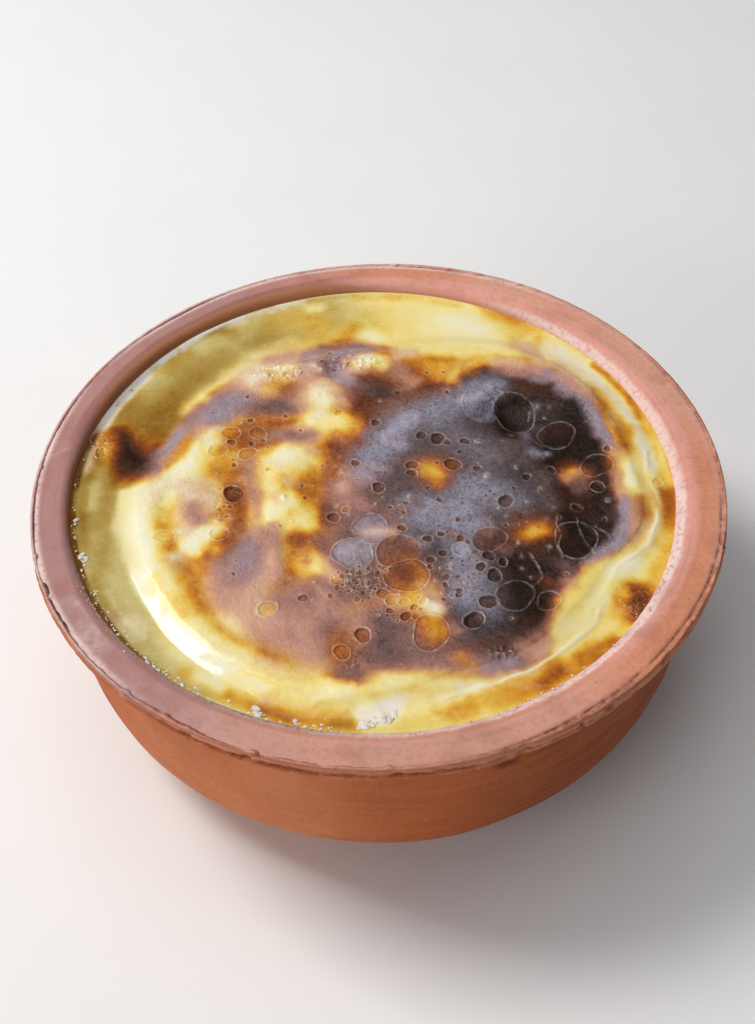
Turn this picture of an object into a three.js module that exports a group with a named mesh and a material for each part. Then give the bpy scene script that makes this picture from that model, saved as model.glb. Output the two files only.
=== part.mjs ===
// A baked rice pudding in the round, unglazed clay bowl it was baked in.
// Millimetres, +Z up. The origin is the centre of the bowl's flat foot.
// Angles about the bowl are measured from +X towards +Y.

import * as THREE from 'three';

// ---- Driving dimensions of the bowl ----
const HEIGHT = 45; // foot to the rim's flat top
const RIM_RADIUS = 62; // outer edge of the rim's flat top
const BODY_RADIUS = 58.7; // just under the rim band
const FOOT_RADIUS = 43.3;
const FLOOR_THICKNESS = 6;
const INNER_RADIUS = 54; // upright part of the inner wall
const FACE_INNER_RADIUS = 56.9; // where the flat top turns down to the inside
const BELLY = 5.3; // exponent of the side's curve: upright above, rounded at the foot

// The rim band: a rounded bead round the outside, below a sharp trimmed edge.
const EDGE_DROP = 0.3; // how much lower the face's outer edge is than its middle
const BEAD = { depth: 1.3, half: 1.75, bulge: 0.3 };
const LIP_ROUND = 3.6; // height of the rounded inner lip

// A hand-thrown bowl: the inside is a little off centre, and the rim not quite round.
const INNER_SHIFT = 0.95; // the inner wall's centre lies this far towards -X
const FACE_SHARE = 0.37; // share of that shift at the face's inner edge
const WOBBLES = [
  { lobes: 2, size: 0.16, phase: 0.6 },
  { lobes: 3, size: 0.08, phase: 2.1 },
  { lobes: 5, size: 0.06, phase: 1.0 },
];

// ---- Driving dimensions of the pudding ----
const FILL_LEVEL = 43.1; // where its surface meets the bowl
const WALL_GAP = 0.3; // clearance between pudding and clay

// The skin stands as a raised sheet inside a lower moat. The sheet's edge, its
// shore, is this far from the pudding's centre, every 15 degrees from +X.
const SHORE = [
  49.6, 49.8, 50.0, 48.8, 45.5, 41.5, 38.5, 38.2, 38.8, 39.6, 40.2, 42.3,
  46.8, 47.2, 48.0, 49.2, 50.2, 50.9, 50.0, 47.8, 48.4, 47.6, 47.4, 50.8,
];
const MOAT_DEPTH = 0.7; // the moat's floor below FILL_LEVEL
const SHEET_HEIGHT = 0.35; // the sheet's middle above FILL_LEVEL
const SHORE_RUN = 3.2; // the sheet's edge is an even slope about this wide
const SHORE_EASE = 1.2; // and is level at this share of that width
const SHOULDER = { height: 0.35, inset: 5.5, width: 2.8 }; // swollen edge of the sheet
const FOLD = { height: 0.5, width: 1.3, middle: -8, spread: 62 }; // pinched fold, in degrees
const MENISCUS = { height: 0.14, width: 0.7 }; // climb of the moat against the wall
const WALL_RUN = 1.3; // width of the strip that ends level with FILL_LEVEL at the wall
const CLIMB = { least: 0.25, middle: 190, half: 130, soft: 40 }; // where it does so in full

// Swellings and hollows of the scorched skin: centre, half sizes, turn in degrees, height.
const SWELLS = [
  { x: 9, y: -6, a: 22, b: 21, turn: 20, height: 0.95 }, // broad dome of the dark skin
  { x: 27, y: 14.5, a: 8.5, b: 5.2, turn: -18, height: -2.5 }, // torn blister's pit
  { x: 24, y: 23.2, a: 9.5, b: 2.3, turn: -8, height: 1.0 }, // its raised upper lip
  { x: 36, y: -3, a: 5, b: 17, turn: 4, height: -1.0 }, // trough inside the right shore
  { x: 26.5, y: -24, a: 6, b: 7, turn: 25, height: -0.9 }, // its lower end
  { x: 19.8, y: 18.8, a: 3.2, b: 3.0, turn: 0, height: 1.0 }, // blister beside the pit
  { x: 34, y: 10, a: 3.4, b: 4.2, turn: 0, height: 0.9 }, // blister in the pit
  { x: 8, y: -34.5, a: 3.6, b: 4.0, turn: 0, height: 0.7 }, // amber blister in front
  { x: -4.6, y: -17, a: 3.9, b: 3.3, turn: 0, height: 0.75 }, // paired flat blisters
  { x: 3.2, y: -16.6, a: 3.9, b: 3.6, turn: 0, height: 0.7 },
  { x: -46, y: 8.5, a: 4.4, b: 3.6, turn: -60, height: -0.45 }, // burnt hollow in the moat
  { x: -22, y: 12, a: 9, b: 4.5, turn: 10, height: -0.6 }, // bubbly hollow, left
  { x: -26.5, y: -3, a: 4, b: 7, turn: 0, height: -0.55 },
  { x: -10, y: -3, a: 3.6, b: 10, turn: 0, height: -0.5 },
  { x: -32, y: 7, a: 3.6, b: 8, turn: -25, height: 0.5 }, // cream mounds
  { x: -16, y: 6, a: 5.5, b: 4.5, turn: 0, height: 0.55 },
  { x: -16.5, y: -7.5, a: 5.5, b: 4.5, turn: 0, height: 0.5 },
  { x: -6.5, y: 15, a: 6.5, b: 4.5, turn: -25, height: 0.5 },
  { x: -10, y: 23.5, a: 4, b: 3.4, turn: 0, height: 0.45 },
  { x: 42.3, y: -29.5, a: 3.2, b: 3.6, turn: 20, height: 0.6 }, // scorched spot by the rim
];

// ---- Mesh fineness ----
const SEGMENTS = 72;
const TOP_RINGS = 25;

const TURN = 2 * Math.PI;
const radians = (degrees) => (degrees * Math.PI) / 180;
const clamp01 = (t) => Math.min(1, Math.max(0, t));
const smooth = (t) => clamp01(t) ** 2 * (3 - 2 * clamp01(t));
const bell = (t) => Math.exp(-t * t);

// ---- The bowl's form ----

// A wall that runs from radius `top` at height `high` to radius `foot` at height `low`.
function bellyWall(top, high, foot, low, steps) {
  const points = [];
  for (let i = 0; i <= steps; i++) {
    const down = Math.sin(((i / steps) * Math.PI) / 2); // closer steps where it turns in
    points.push(new THREE.Vector2(
      foot + (top - foot) * (1 - down ** BELLY),
      high - (high - low) * down,
    ));
  }
  return points;
}

// Points of an ellipse's arc, both ends included, in the profile's plane.
function arc(centre, radiusR, radiusZ, from, to, steps) {
  const points = [];
  for (let i = 0; i <= steps; i++) {
    const angle = radians(from + ((to - from) * i) / steps);
    points.push(new THREE.Vector2(
      centre.x + radiusR * Math.cos(angle),
      centre.y + radiusZ * Math.sin(angle),
    ));
  }
  return points;
}

const LIP_BOTTOM = HEIGHT - LIP_ROUND;
const BEAD_CENTRE = new THREE.Vector2(
  RIM_RADIUS + BEAD.bulge - BEAD.depth,
  HEIGHT - EDGE_DROP - BEAD.half,
);
const BODY_TOP = BEAD_CENTRE.y - BEAD.half - 0.5; // the band steps in by this much below

// The inner surface, from the rounded lip down to the floor's edge.
function innerWall() {
  const lipCentre = new THREE.Vector2(FACE_INNER_RADIUS, LIP_BOTTOM);
  const lip = arc(lipCentre, FACE_INNER_RADIUS - INNER_RADIUS, LIP_ROUND, 90, 180, 6);
  const floorRadius = FOOT_RADIUS - FLOOR_THICKNESS;
  const wall = bellyWall(INNER_RADIUS, LIP_BOTTOM, floorRadius, FLOOR_THICKNESS, 6);
  return [...lip, ...wall.slice(1)];
}

// How far the thrown surface strays from a true circle at this angle.
const wobble = (angle) => WOBBLES.reduce(
  (sum, w) => sum + w.size * Math.cos(w.lobes * angle + w.phase), 0);

// Moves one point of the turned form to where the potter's hand left it.
function throwByHand(point, inside) {
  const angle = Math.atan2(point.y, point.x);
  const radius = Math.hypot(point.x, point.y);
  const stray = wobble(angle) * clamp01(point.z / HEIGHT) * clamp01(radius / FOOT_RADIUS);
  const depth = clamp01((HEIGHT - point.z) / (HEIGHT - FILL_LEVEL));
  const shift = inside ? INNER_SHIFT * (FACE_SHARE + (1 - FACE_SHARE) * depth) : 0;
  point.x += stray * Math.cos(angle) - shift;
  point.y += stray * Math.sin(angle);
  return point;
}

// Turns a profile about Z and passes every point through `move(point, profileIndex)`.
function turned(profile, move) {
  const geometry = new THREE.LatheGeometry(profile, SEGMENTS);
  geometry.rotateX(Math.PI / 2); // the lathe's axis from Y to Z
  const place = geometry.attributes.position;
  const point = new THREE.Vector3();
  for (let i = 0; i < place.count; i++) {
    point.fromBufferAttribute(place, i);
    move(point, i % profile.length);
    place.setXYZ(i, point.x, point.y, point.z);
  }
  geometry.computeVertexNormals();
  return geometry;
}

function bowlGeometry() {
  const body = bellyWall(BODY_RADIUS, BODY_TOP, FOOT_RADIUS, 0, 9).reverse();
  const bead = arc(BEAD_CENTRE, BEAD.depth, BEAD.half, -90, 70, 6);
  const face = [
    new THREE.Vector2(RIM_RADIUS, HEIGHT - EDGE_DROP),
    new THREE.Vector2(RIM_RADIUS - 1.4, HEIGHT - 0.08),
  ];
  const outside = [new THREE.Vector2(0, 0), ...body, ...bead, ...face];
  const inside = [...innerWall(), new THREE.Vector2(0, FLOOR_THICKNESS)];
  return turned([...outside, ...inside], (point, index) =>
    throwByHand(point, index >= outside.length));
}

// ---- The pudding's form ----

// The sheet's edge at an angle: a closed smooth curve through SHORE.
function shoreRadius(angle) {
  const place = ((angle / TURN + 1) % 1) * SHORE.length;
  const index = Math.floor(place);
  const t = place - index;
  const at = (k) => SHORE[(index + k + SHORE.length) % SHORE.length];
  const [before, here, next, after] = [at(-1), at(0), at(1), at(2)];
  const bend = (2 * before - 5 * here + 4 * next - after) * t * t;
  return here + 0.5 * ((next - before) * t + bend
    + (3 * here - before - 3 * next + after) * t ** 3);
}

// How pinched the fold is at an angle, from 0 to 1.
function foldStrength(angle) {
  const off = Math.atan2(
    Math.sin(angle - radians(FOLD.middle)), Math.cos(angle - radians(FOLD.middle)));
  return smooth(1.6 * (1 - Math.abs(off) / radians(FOLD.spread)));
}

function swellHeight(x, y, swell) {
  const turn = radians(swell.turn);
  const along = (x - swell.x) * Math.cos(turn) + (y - swell.y) * Math.sin(turn);
  const across = (y - swell.y) * Math.cos(turn) - (x - swell.x) * Math.sin(turn);
  return swell.height * bell(Math.hypot(along / swell.a, across / swell.b));
}

// How fully the surface comes back to FILL_LEVEL at the wall, at an angle.
function wallClimb(angle) {
  const off = Math.atan2(
    Math.sin(angle - radians(CLIMB.middle)), Math.cos(angle - radians(CLIMB.middle)));
  const near = smooth((radians(CLIMB.half) - Math.abs(off)) / radians(CLIMB.soft));
  return CLIMB.least + (1 - CLIMB.least) * near;
}

// Height of the skin above FILL_LEVEL. `inset` is the distance in from the wall.
function skinHeight(x, y, inset) {
  const angle = Math.atan2(y, x);
  const inland = shoreRadius(angle) - Math.hypot(x, y);
  const fold = foldStrength(angle);
  const slope = Math.min(SHORE_EASE, Math.max(0, inland / SHORE_RUN));
  const rise = slope - slope ** 6 / (6 * SHORE_EASE ** 5);
  let height = -MOAT_DEPTH + (MOAT_DEPTH + SHEET_HEIGHT) * rise;
  height += SHOULDER.height * (1 - 0.6 * fold)
    * bell((inland - SHOULDER.inset) / SHOULDER.width);
  height += FOLD.height * fold * bell(inland / FOLD.width);
  for (const swell of SWELLS) height += swellHeight(x, y, swell);
  height *= 1 - wallClimb(angle) * (1 - smooth(inset / WALL_RUN + 0.1));
  return height + MENISCUS.height * Math.exp(-inset / MENISCUS.width);
}

function puddingGeometry() {
  const wall = innerWall().map((p) => new THREE.Vector2(p.x - WALL_GAP, p.y));
  const below = wall.filter((p) => p.y < FILL_LEVEL - 0.6);
  const lipHeight = (FILL_LEVEL - LIP_BOTTOM) / LIP_ROUND;
  const edgeRadius = FACE_INNER_RADIUS - WALL_GAP
    - (FACE_INNER_RADIUS - INNER_RADIUS) * Math.sqrt(1 - lipHeight ** 2);
  const top = [];
  for (let i = 0; i <= TOP_RINGS; i++) {
    const share = Math.sin(((i / TOP_RINGS) ** 1.05 * Math.PI) / 2.35)
      / Math.sin(Math.PI / 2.35); // closer rings near the wall
    top.push(new THREE.Vector2(edgeRadius * share, FILL_LEVEL));
  }
  const floor = FLOOR_THICKNESS + WALL_GAP;
  const side = below.map((p) => new THREE.Vector2(p.x, Math.max(p.y, floor))).reverse();
  const profile = [new THREE.Vector2(0, floor), ...side, ...top.reverse()];
  const firstTop = profile.length - top.length;
  return turned(profile, (point, index) => {
    const inset = edgeRadius - Math.hypot(point.x, point.y);
    throwByHand(point, true);
    if (index >= firstTop) point.z += skinHeight(point.x, point.y, inset);
  });
}

// ---- Assembly ----

function node(name, geometry, color, roughness) {
  const material = new THREE.MeshStandardMaterial({ color, roughness, metalness: 0 });
  material.name = name;
  const mesh = new THREE.Mesh(geometry, material);
  mesh.name = name;
  return mesh;
}

const dish = new THREE.Group();
dish.name = 'baked_rice_pudding';
dish.add(node('bowl', bowlGeometry(), 0xb9724f, 0.85));
dish.add(node('pudding', puddingGeometry(), 0xd9b45c, 0.35));

export default dish;
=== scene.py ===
"""Looks of a rice pudding baked in a round clay bowl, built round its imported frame.

Lengths are in millimetres until a mesh is made. +Z is up, -Y faces the camera, and the
origin is the centre of the bowl's foot. Angles about the bowl run from +X towards +Y.
The browning of the milk is painted in strokes. Their paths, and places named SEEN_, are as the
skin looks when its photo is laid flat, where a raised place lies further back: see LEAN.
"""

import math

import bpy
import numpy as np
from mathutils import Matrix, Vector
from mathutils.geometry import delaunay_2d_cdt


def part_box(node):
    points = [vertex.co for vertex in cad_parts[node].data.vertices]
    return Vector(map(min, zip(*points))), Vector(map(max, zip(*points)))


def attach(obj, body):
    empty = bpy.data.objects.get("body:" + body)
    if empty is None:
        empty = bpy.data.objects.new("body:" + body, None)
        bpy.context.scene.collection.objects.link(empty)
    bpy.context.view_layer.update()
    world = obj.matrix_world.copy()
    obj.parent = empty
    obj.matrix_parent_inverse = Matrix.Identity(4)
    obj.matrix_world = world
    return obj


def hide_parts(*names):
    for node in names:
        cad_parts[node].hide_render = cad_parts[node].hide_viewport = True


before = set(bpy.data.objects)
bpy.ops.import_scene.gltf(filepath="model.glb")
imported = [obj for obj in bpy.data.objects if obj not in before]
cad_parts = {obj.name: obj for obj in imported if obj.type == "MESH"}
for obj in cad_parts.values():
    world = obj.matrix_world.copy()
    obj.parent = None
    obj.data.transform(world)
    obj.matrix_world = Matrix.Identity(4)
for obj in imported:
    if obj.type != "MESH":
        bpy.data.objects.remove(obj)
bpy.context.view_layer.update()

MM = 0.001

# ---- Sizes of the bowl, as in its solid ----
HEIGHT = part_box("bowl")[1].z / MM
RIM_RADIUS = 62.0
BODY_RADIUS = 58.7
FOOT_RADIUS = 43.3
FLOOR_THICKNESS = 6.0
INNER_RADIUS = 54.0
FACE_INNER_RADIUS = 56.9
BELLY = 5.3
EDGE_DROP = 0.3
BEAD_DEPTH, BEAD_HALF, BEAD_BULGE = 1.3, 1.75, 0.3
LIP_ROUND = 3.6
LIP_BOTTOM = HEIGHT - LIP_ROUND
INNER_SHIFT = 0.95
FACE_SHARE = 0.37
WOBBLES = [(2, 0.16, 0.6), (3, 0.08, 2.1), (5, 0.06, 1.0)]  # lobes, size, phase

# ---- Sizes of the pudding, as in its solid ----
FILL_LEVEL = 43.1
SHORE = [
    49.6, 49.8, 50.0, 48.8, 45.5, 41.5, 38.5, 38.2, 38.8, 39.6, 40.2, 42.3,
    46.8, 47.2, 48.0, 49.2, 50.2, 50.9, 50.0, 47.8, 48.4, 47.6, 47.4, 50.8,
]
MOAT_DEPTH = 0.7
SHEET_HEIGHT = 0.35
SHORE_RUN, SHORE_EASE = 3.2, 1.2  # the even slope at the sheet's edge, and where it levels out
SHOULDER_HEIGHT, SHOULDER_INSET, SHOULDER_WIDTH = 0.35, 5.5, 2.8
FOLD_HEIGHT, FOLD_WIDTH, FOLD_MIDDLE, FOLD_SPREAD = 0.5, 1.3, -8.0, 62.0
MENISCUS_HEIGHT, MENISCUS_WIDTH = 0.14, 0.7
SWELLS = [  # x, y, half sizes, turn in degrees, height
    (9, -6, 22, 21, 20, 0.95), (27, 14.5, 8.5, 5.2, -18, -2.5), (24, 23.2, 9.5, 2.3, -8, 1.0),
    (36, -3, 5, 17, 4, -1.0), (26.5, -24, 6, 7, 25, -0.9), (19.8, 18.8, 3.2, 3.0, 0, 1.0),
    (34, 10, 3.4, 4.2, 0, 0.9), (8, -34.5, 3.6, 4.0, 0, 0.7), (-4.6, -17, 3.9, 3.3, 0, 0.75),
    (3.2, -16.6, 3.9, 3.6, 0, 0.7), (-46, 8.5, 4.4, 3.6, -60, -0.45), (-22, 12, 9, 4.5, 10, -0.6),
    (-26.5, -3, 4, 7, 0, -0.55), (-10, -3, 3.6, 10, 0, -0.5), (-32, 7, 3.6, 8, -25, 0.5),
    (-16, 6, 5.5, 4.5, 0, 0.55), (-16.5, -7.5, 5.5, 4.5, 0, 0.5), (-6.5, 15, 6.5, 4.5, -25, 0.5),
    (-10, 23.5, 4, 3.4, 0, 0.45), (42.3, -29.5, 3.2, 3.6, 20, 0.6),
]

# ---- Sizes of the fine forms, which only the looks have ----
LEAN = 0.97  # in the photo's flat view a place lies this much further back per mm of its height
SKIN_CEILING = HEIGHT - 0.06 - FILL_LEVEL
CREST_HEIGHT, CREST_WIDTH = 0.15, 0.4
CREST_GAP, CREST_GAP_WIDTH = -26.5, 4.2  # the crest fades near this y
BURNT_SHORE = (196, 26, 12)  # middle, half width and softness in degrees
FRONT_WAVES, BACK_WAVES = (5, -46.5, 27, 5.5, 3), (47, 14, 4.5, 24, 14)  # x, y, half sizes, turn
KNOBBLY = (-36.5, -5, 9.5, 20, -8)  # the same
CRUMB, SMALL_CRUMB = 1.15, 0.6
SMALL_SWELLS = [  # lumps and hollows finer than the solid's
    (-23.5, 28.5, 3.0, 2.6, 0, 0.35), (-19, 31.5, 2.2, 1.6, 20, 0.3), (-1.2, 32.5, 2.6, 2.0, 0, 0.35),
    (-16, 27, 1.8, 1.6, 0, -0.3), (-11, 2, 2.2, 4.0, 0, -0.2), (-12, -19.5, 2.6, 2.2, 0, 0.35),
    (-15, -16, 2.0, 5.0, 10, -0.35), (-18.2, -17, 1.2, 6.0, 4, 0.35), (-33, -21, 2.5, 4.5, 25, -0.4),
    (-28, -31, 5.0, 2.0, -42, -0.25), (-37.5, -8, 2.0, 4.0, 0, -0.25), (-31, -13, 5.5, 1.5, 32, 0.3),
    (10.5, 2, 2.4, 3.2, 0, -0.35), (35, -1, 2.4, 1.8, 0, 0.25), (28, -14, 3.4, 2.4, 10, -0.3),
    (4.5, -22.5, 3.2, 3.0, 0, 0.35), (-5, 31, 4.0, 2.5, -20, 0.25), (14.5, 27.5, 1.8, 3.2, 0, 0.3),
    (46.2, -2, 2.0, 4.2, 0, 0.3), (-25, -18, 3.5, 6.0, 0, 0.25),
    (-23, -29, 4.5, 3.5, 0, 0.25), (20, 44, 7.0, 4.0, -20, 0.2), (-5, -46, 5.0, 2.0, 0, 0.25),
]


# ---------------------------------------------------------------- numbers and noise

def smooth(t):
    """Ease from 0 to 1 while t goes from 0 to 1."""
    t = np.clip(t, 0.0, 1.0)
    return t * t * (3 - 2 * t)


def bell(t):
    """A smooth hump: 1 at 0, and next to nothing beyond 2 on both sides."""
    return np.exp(-np.square(t))


def azimuth_window(angle, middle, half, soft):
    """1 within `half` degrees of an angle, falling to 0 over `soft` degrees."""
    off = np.abs((np.degrees(angle) - middle + 180) % 360 - 180)
    return smooth((half + soft - off) / soft)


def lattice_value(ix, iy, iz, seed):
    """A repeatable value in -1..1 for each whole-number lattice point."""
    h = ix * 374761393 + iy * 668265263 + iz * 1442695041 + seed * 974634777
    h &= 0xFFFFFFFF
    h = ((h ^ (h >> 13)) * 1274126177) & 0xFFFFFFFF
    h ^= h >> 16
    return (h & 0xFFFFFF) / 0x7FFFFF - 1.0


def noise(points, size, seed, octaves=1):
    """Smooth random values in about -1..1 at (n, 2 or 3) points, features `size` mm apart."""
    points = np.asarray(points, float)
    if points.shape[1] == 2:
        points = np.c_[points, np.zeros(len(points))]
    total, weight, reach = np.zeros(len(points)), 1.0, 0.0
    for octave in range(octaves):
        place = points / size * 2.0 ** octave + 17.3 * (octave + 1)
        cell = np.floor(place).astype(np.int64)
        t = place - cell
        t = t * t * (3 - 2 * t)
        value = np.zeros(len(points))
        for corner in range(8):
            step = np.array([corner & 1, corner >> 1 & 1, corner >> 2 & 1])
            share = np.prod(np.where(step, t, 1 - t), axis=1)
            at = cell + step
            value += share * lattice_value(at[:, 0], at[:, 1], at[:, 2], seed + octave)
        total += weight * value
        reach += weight
        weight *= 0.5
    return total / reach


def cells(x, y, size, seed):
    """Packed bubbles: 1 on the walls between neighbours, 0 in the middle of each."""
    gx, gy = np.floor(x / size).astype(np.int64), np.floor(y / size).astype(np.int64)
    first, second = np.full(len(x), 9.0), np.full(len(x), 9.0)
    for ix in (-1, 0, 1):
        for iy in (-1, 0, 1):
            spot = gx + ix, gy + iy
            sx = (spot[0] + 0.5 + 0.4 * lattice_value(spot[0], spot[1], 0 * gx, seed)) * size
            sy = (spot[1] + 0.5 + 0.4 * lattice_value(spot[0], spot[1], 0 * gx, seed + 1)) * size
            far = np.hypot(x - sx, y - sy) / size
            second = np.minimum(second, np.maximum(first, far))
            first = np.minimum(first, far)
    return smooth(1.0 - 5.0 * (second - first))


def wobble(angle):
    """How far out of round the bowl is at an angle."""
    return sum(size * np.cos(lobes * angle + phase) for lobes, size, phase in WOBBLES)


def inner_radius(z):
    """Radius of the bowl's inner wall at a height on its rounded lip."""
    share = (z - LIP_BOTTOM) / LIP_ROUND
    return FACE_INNER_RADIUS - (FACE_INNER_RADIUS - INNER_RADIUS) * math.sqrt(1 - share * share)


INNER_EDGE = inner_radius(FILL_LEVEL)


# ---------------------------------------------------------------- curves and distances

def ellipse_distance(x, y, cx, cy, a, b, turn=0.0):
    """Distance from a centre, as a share of the ellipse's half sizes."""
    c, s = math.cos(math.radians(turn)), math.sin(math.radians(turn))
    along = (x - cx) * c + (y - cy) * s
    across = (y - cy) * c - (x - cx) * s
    return np.hypot(along / a, across / b)


def path_distance(x, y, path):
    """Distance in mm from a chain of straight stretches."""
    best = np.full(x.shape, 1e9)
    for (ax, ay), (bx, by) in zip(path, path[1:]):
        dx, dy = bx - ax, by - ay
        t = np.clip(((x - ax) * dx + (y - ay) * dy) / (dx * dx + dy * dy), 0, 1)
        best = np.minimum(best, np.hypot(x - ax - t * dx, y - ay - t * dy))
    return best


def curve_through(points, steps=6):
    """A smooth path through a few points."""
    points = np.array(points, float)
    padded = np.vstack([2 * points[0] - points[1], points, 2 * points[-1] - points[-2]])
    path = []
    for p0, p1, p2, p3 in zip(padded, padded[1:], padded[2:], padded[3:]):
        for t in np.arange(steps) / steps:
            path.append(p1 + 0.5 * ((p2 - p0) * t + (2 * p0 - 5 * p1 + 4 * p2 - p3) * t ** 2
                                    + (3 * p1 - p0 - 3 * p2 + p3) * t ** 3))
    return [tuple(p) for p in path] + [tuple(points[-1])]


def arc(radius, start, end, steps=24):
    """Points round the bowl's axis, from one angle in degrees to another."""
    angles = np.radians(np.linspace(start, end, steps))
    return [(radius * math.cos(a), radius * math.sin(a)) for a in angles]


# ---------------------------------------------------------------- the pudding's broad forms

def shore_radius(angle):
    """The sheet's edge at an angle: a closed smooth curve through SHORE."""
    shore = np.array(SHORE)
    place = (angle / math.tau % 1.0) * len(shore)
    index = np.floor(place).astype(int)
    t = place - index
    before, here, after, beyond = (shore[(index + k) % len(shore)] for k in (-1, 0, 1, 2))
    bend = (2 * before - 5 * here + 4 * after - beyond) * t * t
    return here + 0.5 * ((after - before) * t + bend + (3 * here - before - 3 * after + beyond) * t ** 3)


def fold_strength(angle):
    """1 along the right and front right, where the sheet's edge stands up as a fold."""
    off = (angle - math.radians(FOLD_MIDDLE) + math.pi) % math.tau - math.pi
    return smooth(1.6 * (1 - np.abs(off) / math.radians(FOLD_SPREAD)))


def wall_distance(x, y):
    """How far a place on the pudding is from the clay."""
    return INNER_EDGE + wobble(np.arctan2(y, x)) - np.hypot(x + INNER_SHIFT, y)


def settle_at_wall(x, y):
    """How much of the skin's height is left near the clay: none at the left, most at the right."""
    off_right = np.abs((np.degrees(np.arctan2(y, x)) - 190 + 180) % 360 - 180)
    climb = 0.25 + 0.75 * smooth((130 - off_right) / 40)
    return 1 - climb * (1 - smooth(wall_distance(x, y) / 1.3 + 0.1))


def ground(x, y):
    """Height above FILL_LEVEL of the skin's broad forms, at places given from the bowl's axis."""
    angle = np.arctan2(y, x)
    fold = fold_strength(angle)
    here = np.c_[x, y]
    inland = shore_radius(angle) - np.hypot(x, y)
    inland = inland + 0.45 * noise(here, 7, 31, 2) + 0.10 * noise(here, 2.2, 32, 2)
    slope = np.clip(inland / SHORE_RUN, 0, SHORE_EASE)
    ramp = slope - slope ** 6 / (6 * SHORE_EASE ** 5)
    height = -MOAT_DEPTH + (MOAT_DEPTH + SHEET_HEIGHT) * ramp
    height += SHOULDER_HEIGHT * (1 - 0.6 * fold) * bell((inland - SHOULDER_INSET) / SHOULDER_WIDTH)
    height += FOLD_HEIGHT * fold * bell(inland / FOLD_WIDTH)
    for cx, cy, a, b, turn, lift in SWELLS + SMALL_SWELLS:
        height += lift * bell(ellipse_distance(x, y, cx, cy, a, b, turn))
    on_sheet = smooth(inland / 1.5)
    height += on_sheet * (0.10 * noise(here, 4.5, 41, 2) + 0.045 * noise(here, 1.5, 42, 2))
    height += (1 - on_sheet) * 0.02 * noise(here, 3.0, 43)
    return height * settle_at_wall(x, y)


def set_back(x, y):
    """The real y of something seen at (x, y) in the photo's flat view."""
    return y - LEAN * ground(np.atleast_1d(float(x)), np.atleast_1d(float(y)))[0]


# ---------------------------------------------------------------- bubbles, creases, crest and crumbs

# Bubble rings in the skin: x, y, radius, kind. An open ring is a burst bubble with a dark floor, a flat
# one is level inside, a pale one and a pearl, a small dome, have painted sheen inside, and a well is deep.
SEEN_RINGS = [
    (8.5, 11, 1.1, "open"), (11.5, 10, 1.6, "open"), (13.1, 9, 0.9, "open"),
    (16.5, 9, 1.0, "open"), (19, 9, 0.7, "pearl"), (4.5, 23, 0.7, "open"), (14, 23, 0.5, "open"),
    (0, 14.8, 1.0, "open"), (-3.9, 4.3, 0.9, "open"), (0, 3.3, 1.1, "pale"),
    (6.4, 3.4, 1.2, "open"), (6.3, 1.3, 1.0, "open"), (13.8, 3.2, 1.6, "open"),
    (18.2, 2, 0.8, "open"), (20, 0.2, 0.7, "pearl"), (27, -0.6, 0.9, "open"),
    (42.7, 6, 0.8, "open"), (40.2, 1.8, 2.8, "flat"), (31.8, 0.9, 0.9, "open"),
    (0.2, -2, 1.3, "open"), (-8, -9, 1.2, "open"), (-5.7, -7.2, 0.8, "flat"),
    (16.3, -7.8, 1.2, "pale"), (22.7, -6.3, 1.5, "open"), (39.6, -3.6, 1.3, "open"),
    (35.3, -8.6, 1.0, "open"), (41, -7, 0.6, "pearl"), (50.6, -3, 1.1, "flat"),
    (19, -15.2, 2.9, "flat"), (8.4, -14.6, 0.9, "open"), (4, -12, 0.9, "open"),
    (3.2, -16.7, 3.6, "flat"), (-4.6, -17, 3.4, "pale"), (-1.5, -12, 3.4, "pale"),
    (10.9, -18, 0.8, "open"), (14.1, -17.4, 1.5, "pale"), (18.7, -19, 1.1, "open"),
    (17.2, -21.3, 1.0, "open"), (19.3, -23.4, 1.4, "open"), (15.5, -23.3, 1.1, "pale"),
    (22.5, -28, 3.3, "flat"), (17.9, -29, 1.6, "open"), (15.2, -32.8, 1.8, "open"),
    (28, -29.3, 2.1, "flat"), (0.4, -26.6, 1.2, "flat"), (1.7, -28.1, 1.1, "flat"),
    (3.8, -28.4, 0.9, "flat"), (4, -31.5, 1.0, "open"), (-3.2, -35.1, 1.5, "open"),
    (-6.6, -38.5, 1.5, "flat"), (-19, -29, 1.6, "flat"), (-13, -27, 0.9, "open"),
    (-8.4, -26.7, 0.6, "open"), (-27.3, 13.2, 1.7, "flat"), (-22.2, 13, 1.6, "flat"),
    (-24, 7.6, 1.7, "flat"), (-29.5, 8.8, 1.8, "flat"), (-7, 17.8, 0.9, "flat"),
    (-26.1, -2.6, 2.0, "open"), (34.2, -16, 4.0, "flat"), (20.0, 18.8, 3.5, "pale"),
    (26.7, 15.2, 4.1, "well"), (33.8, 10.2, 3.7, "flat"), (8, -34.6, 3.3, "flat"),
    (4.6, -22.6, 3.6, "flat"), (-37.5, -12.4, 1.8, "flat"), (-28, -12, 1.6, "flat"),
    (-52.3, 12.2, 1.7, "flat"), (-51.6, 9.2, 1.3, "flat"), (21, -20.5, 0.9, "open"),
    (24.5, -3.2, 0.5, "open"), (11.9, -27.5, 0.6, "pale"),
]
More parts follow.
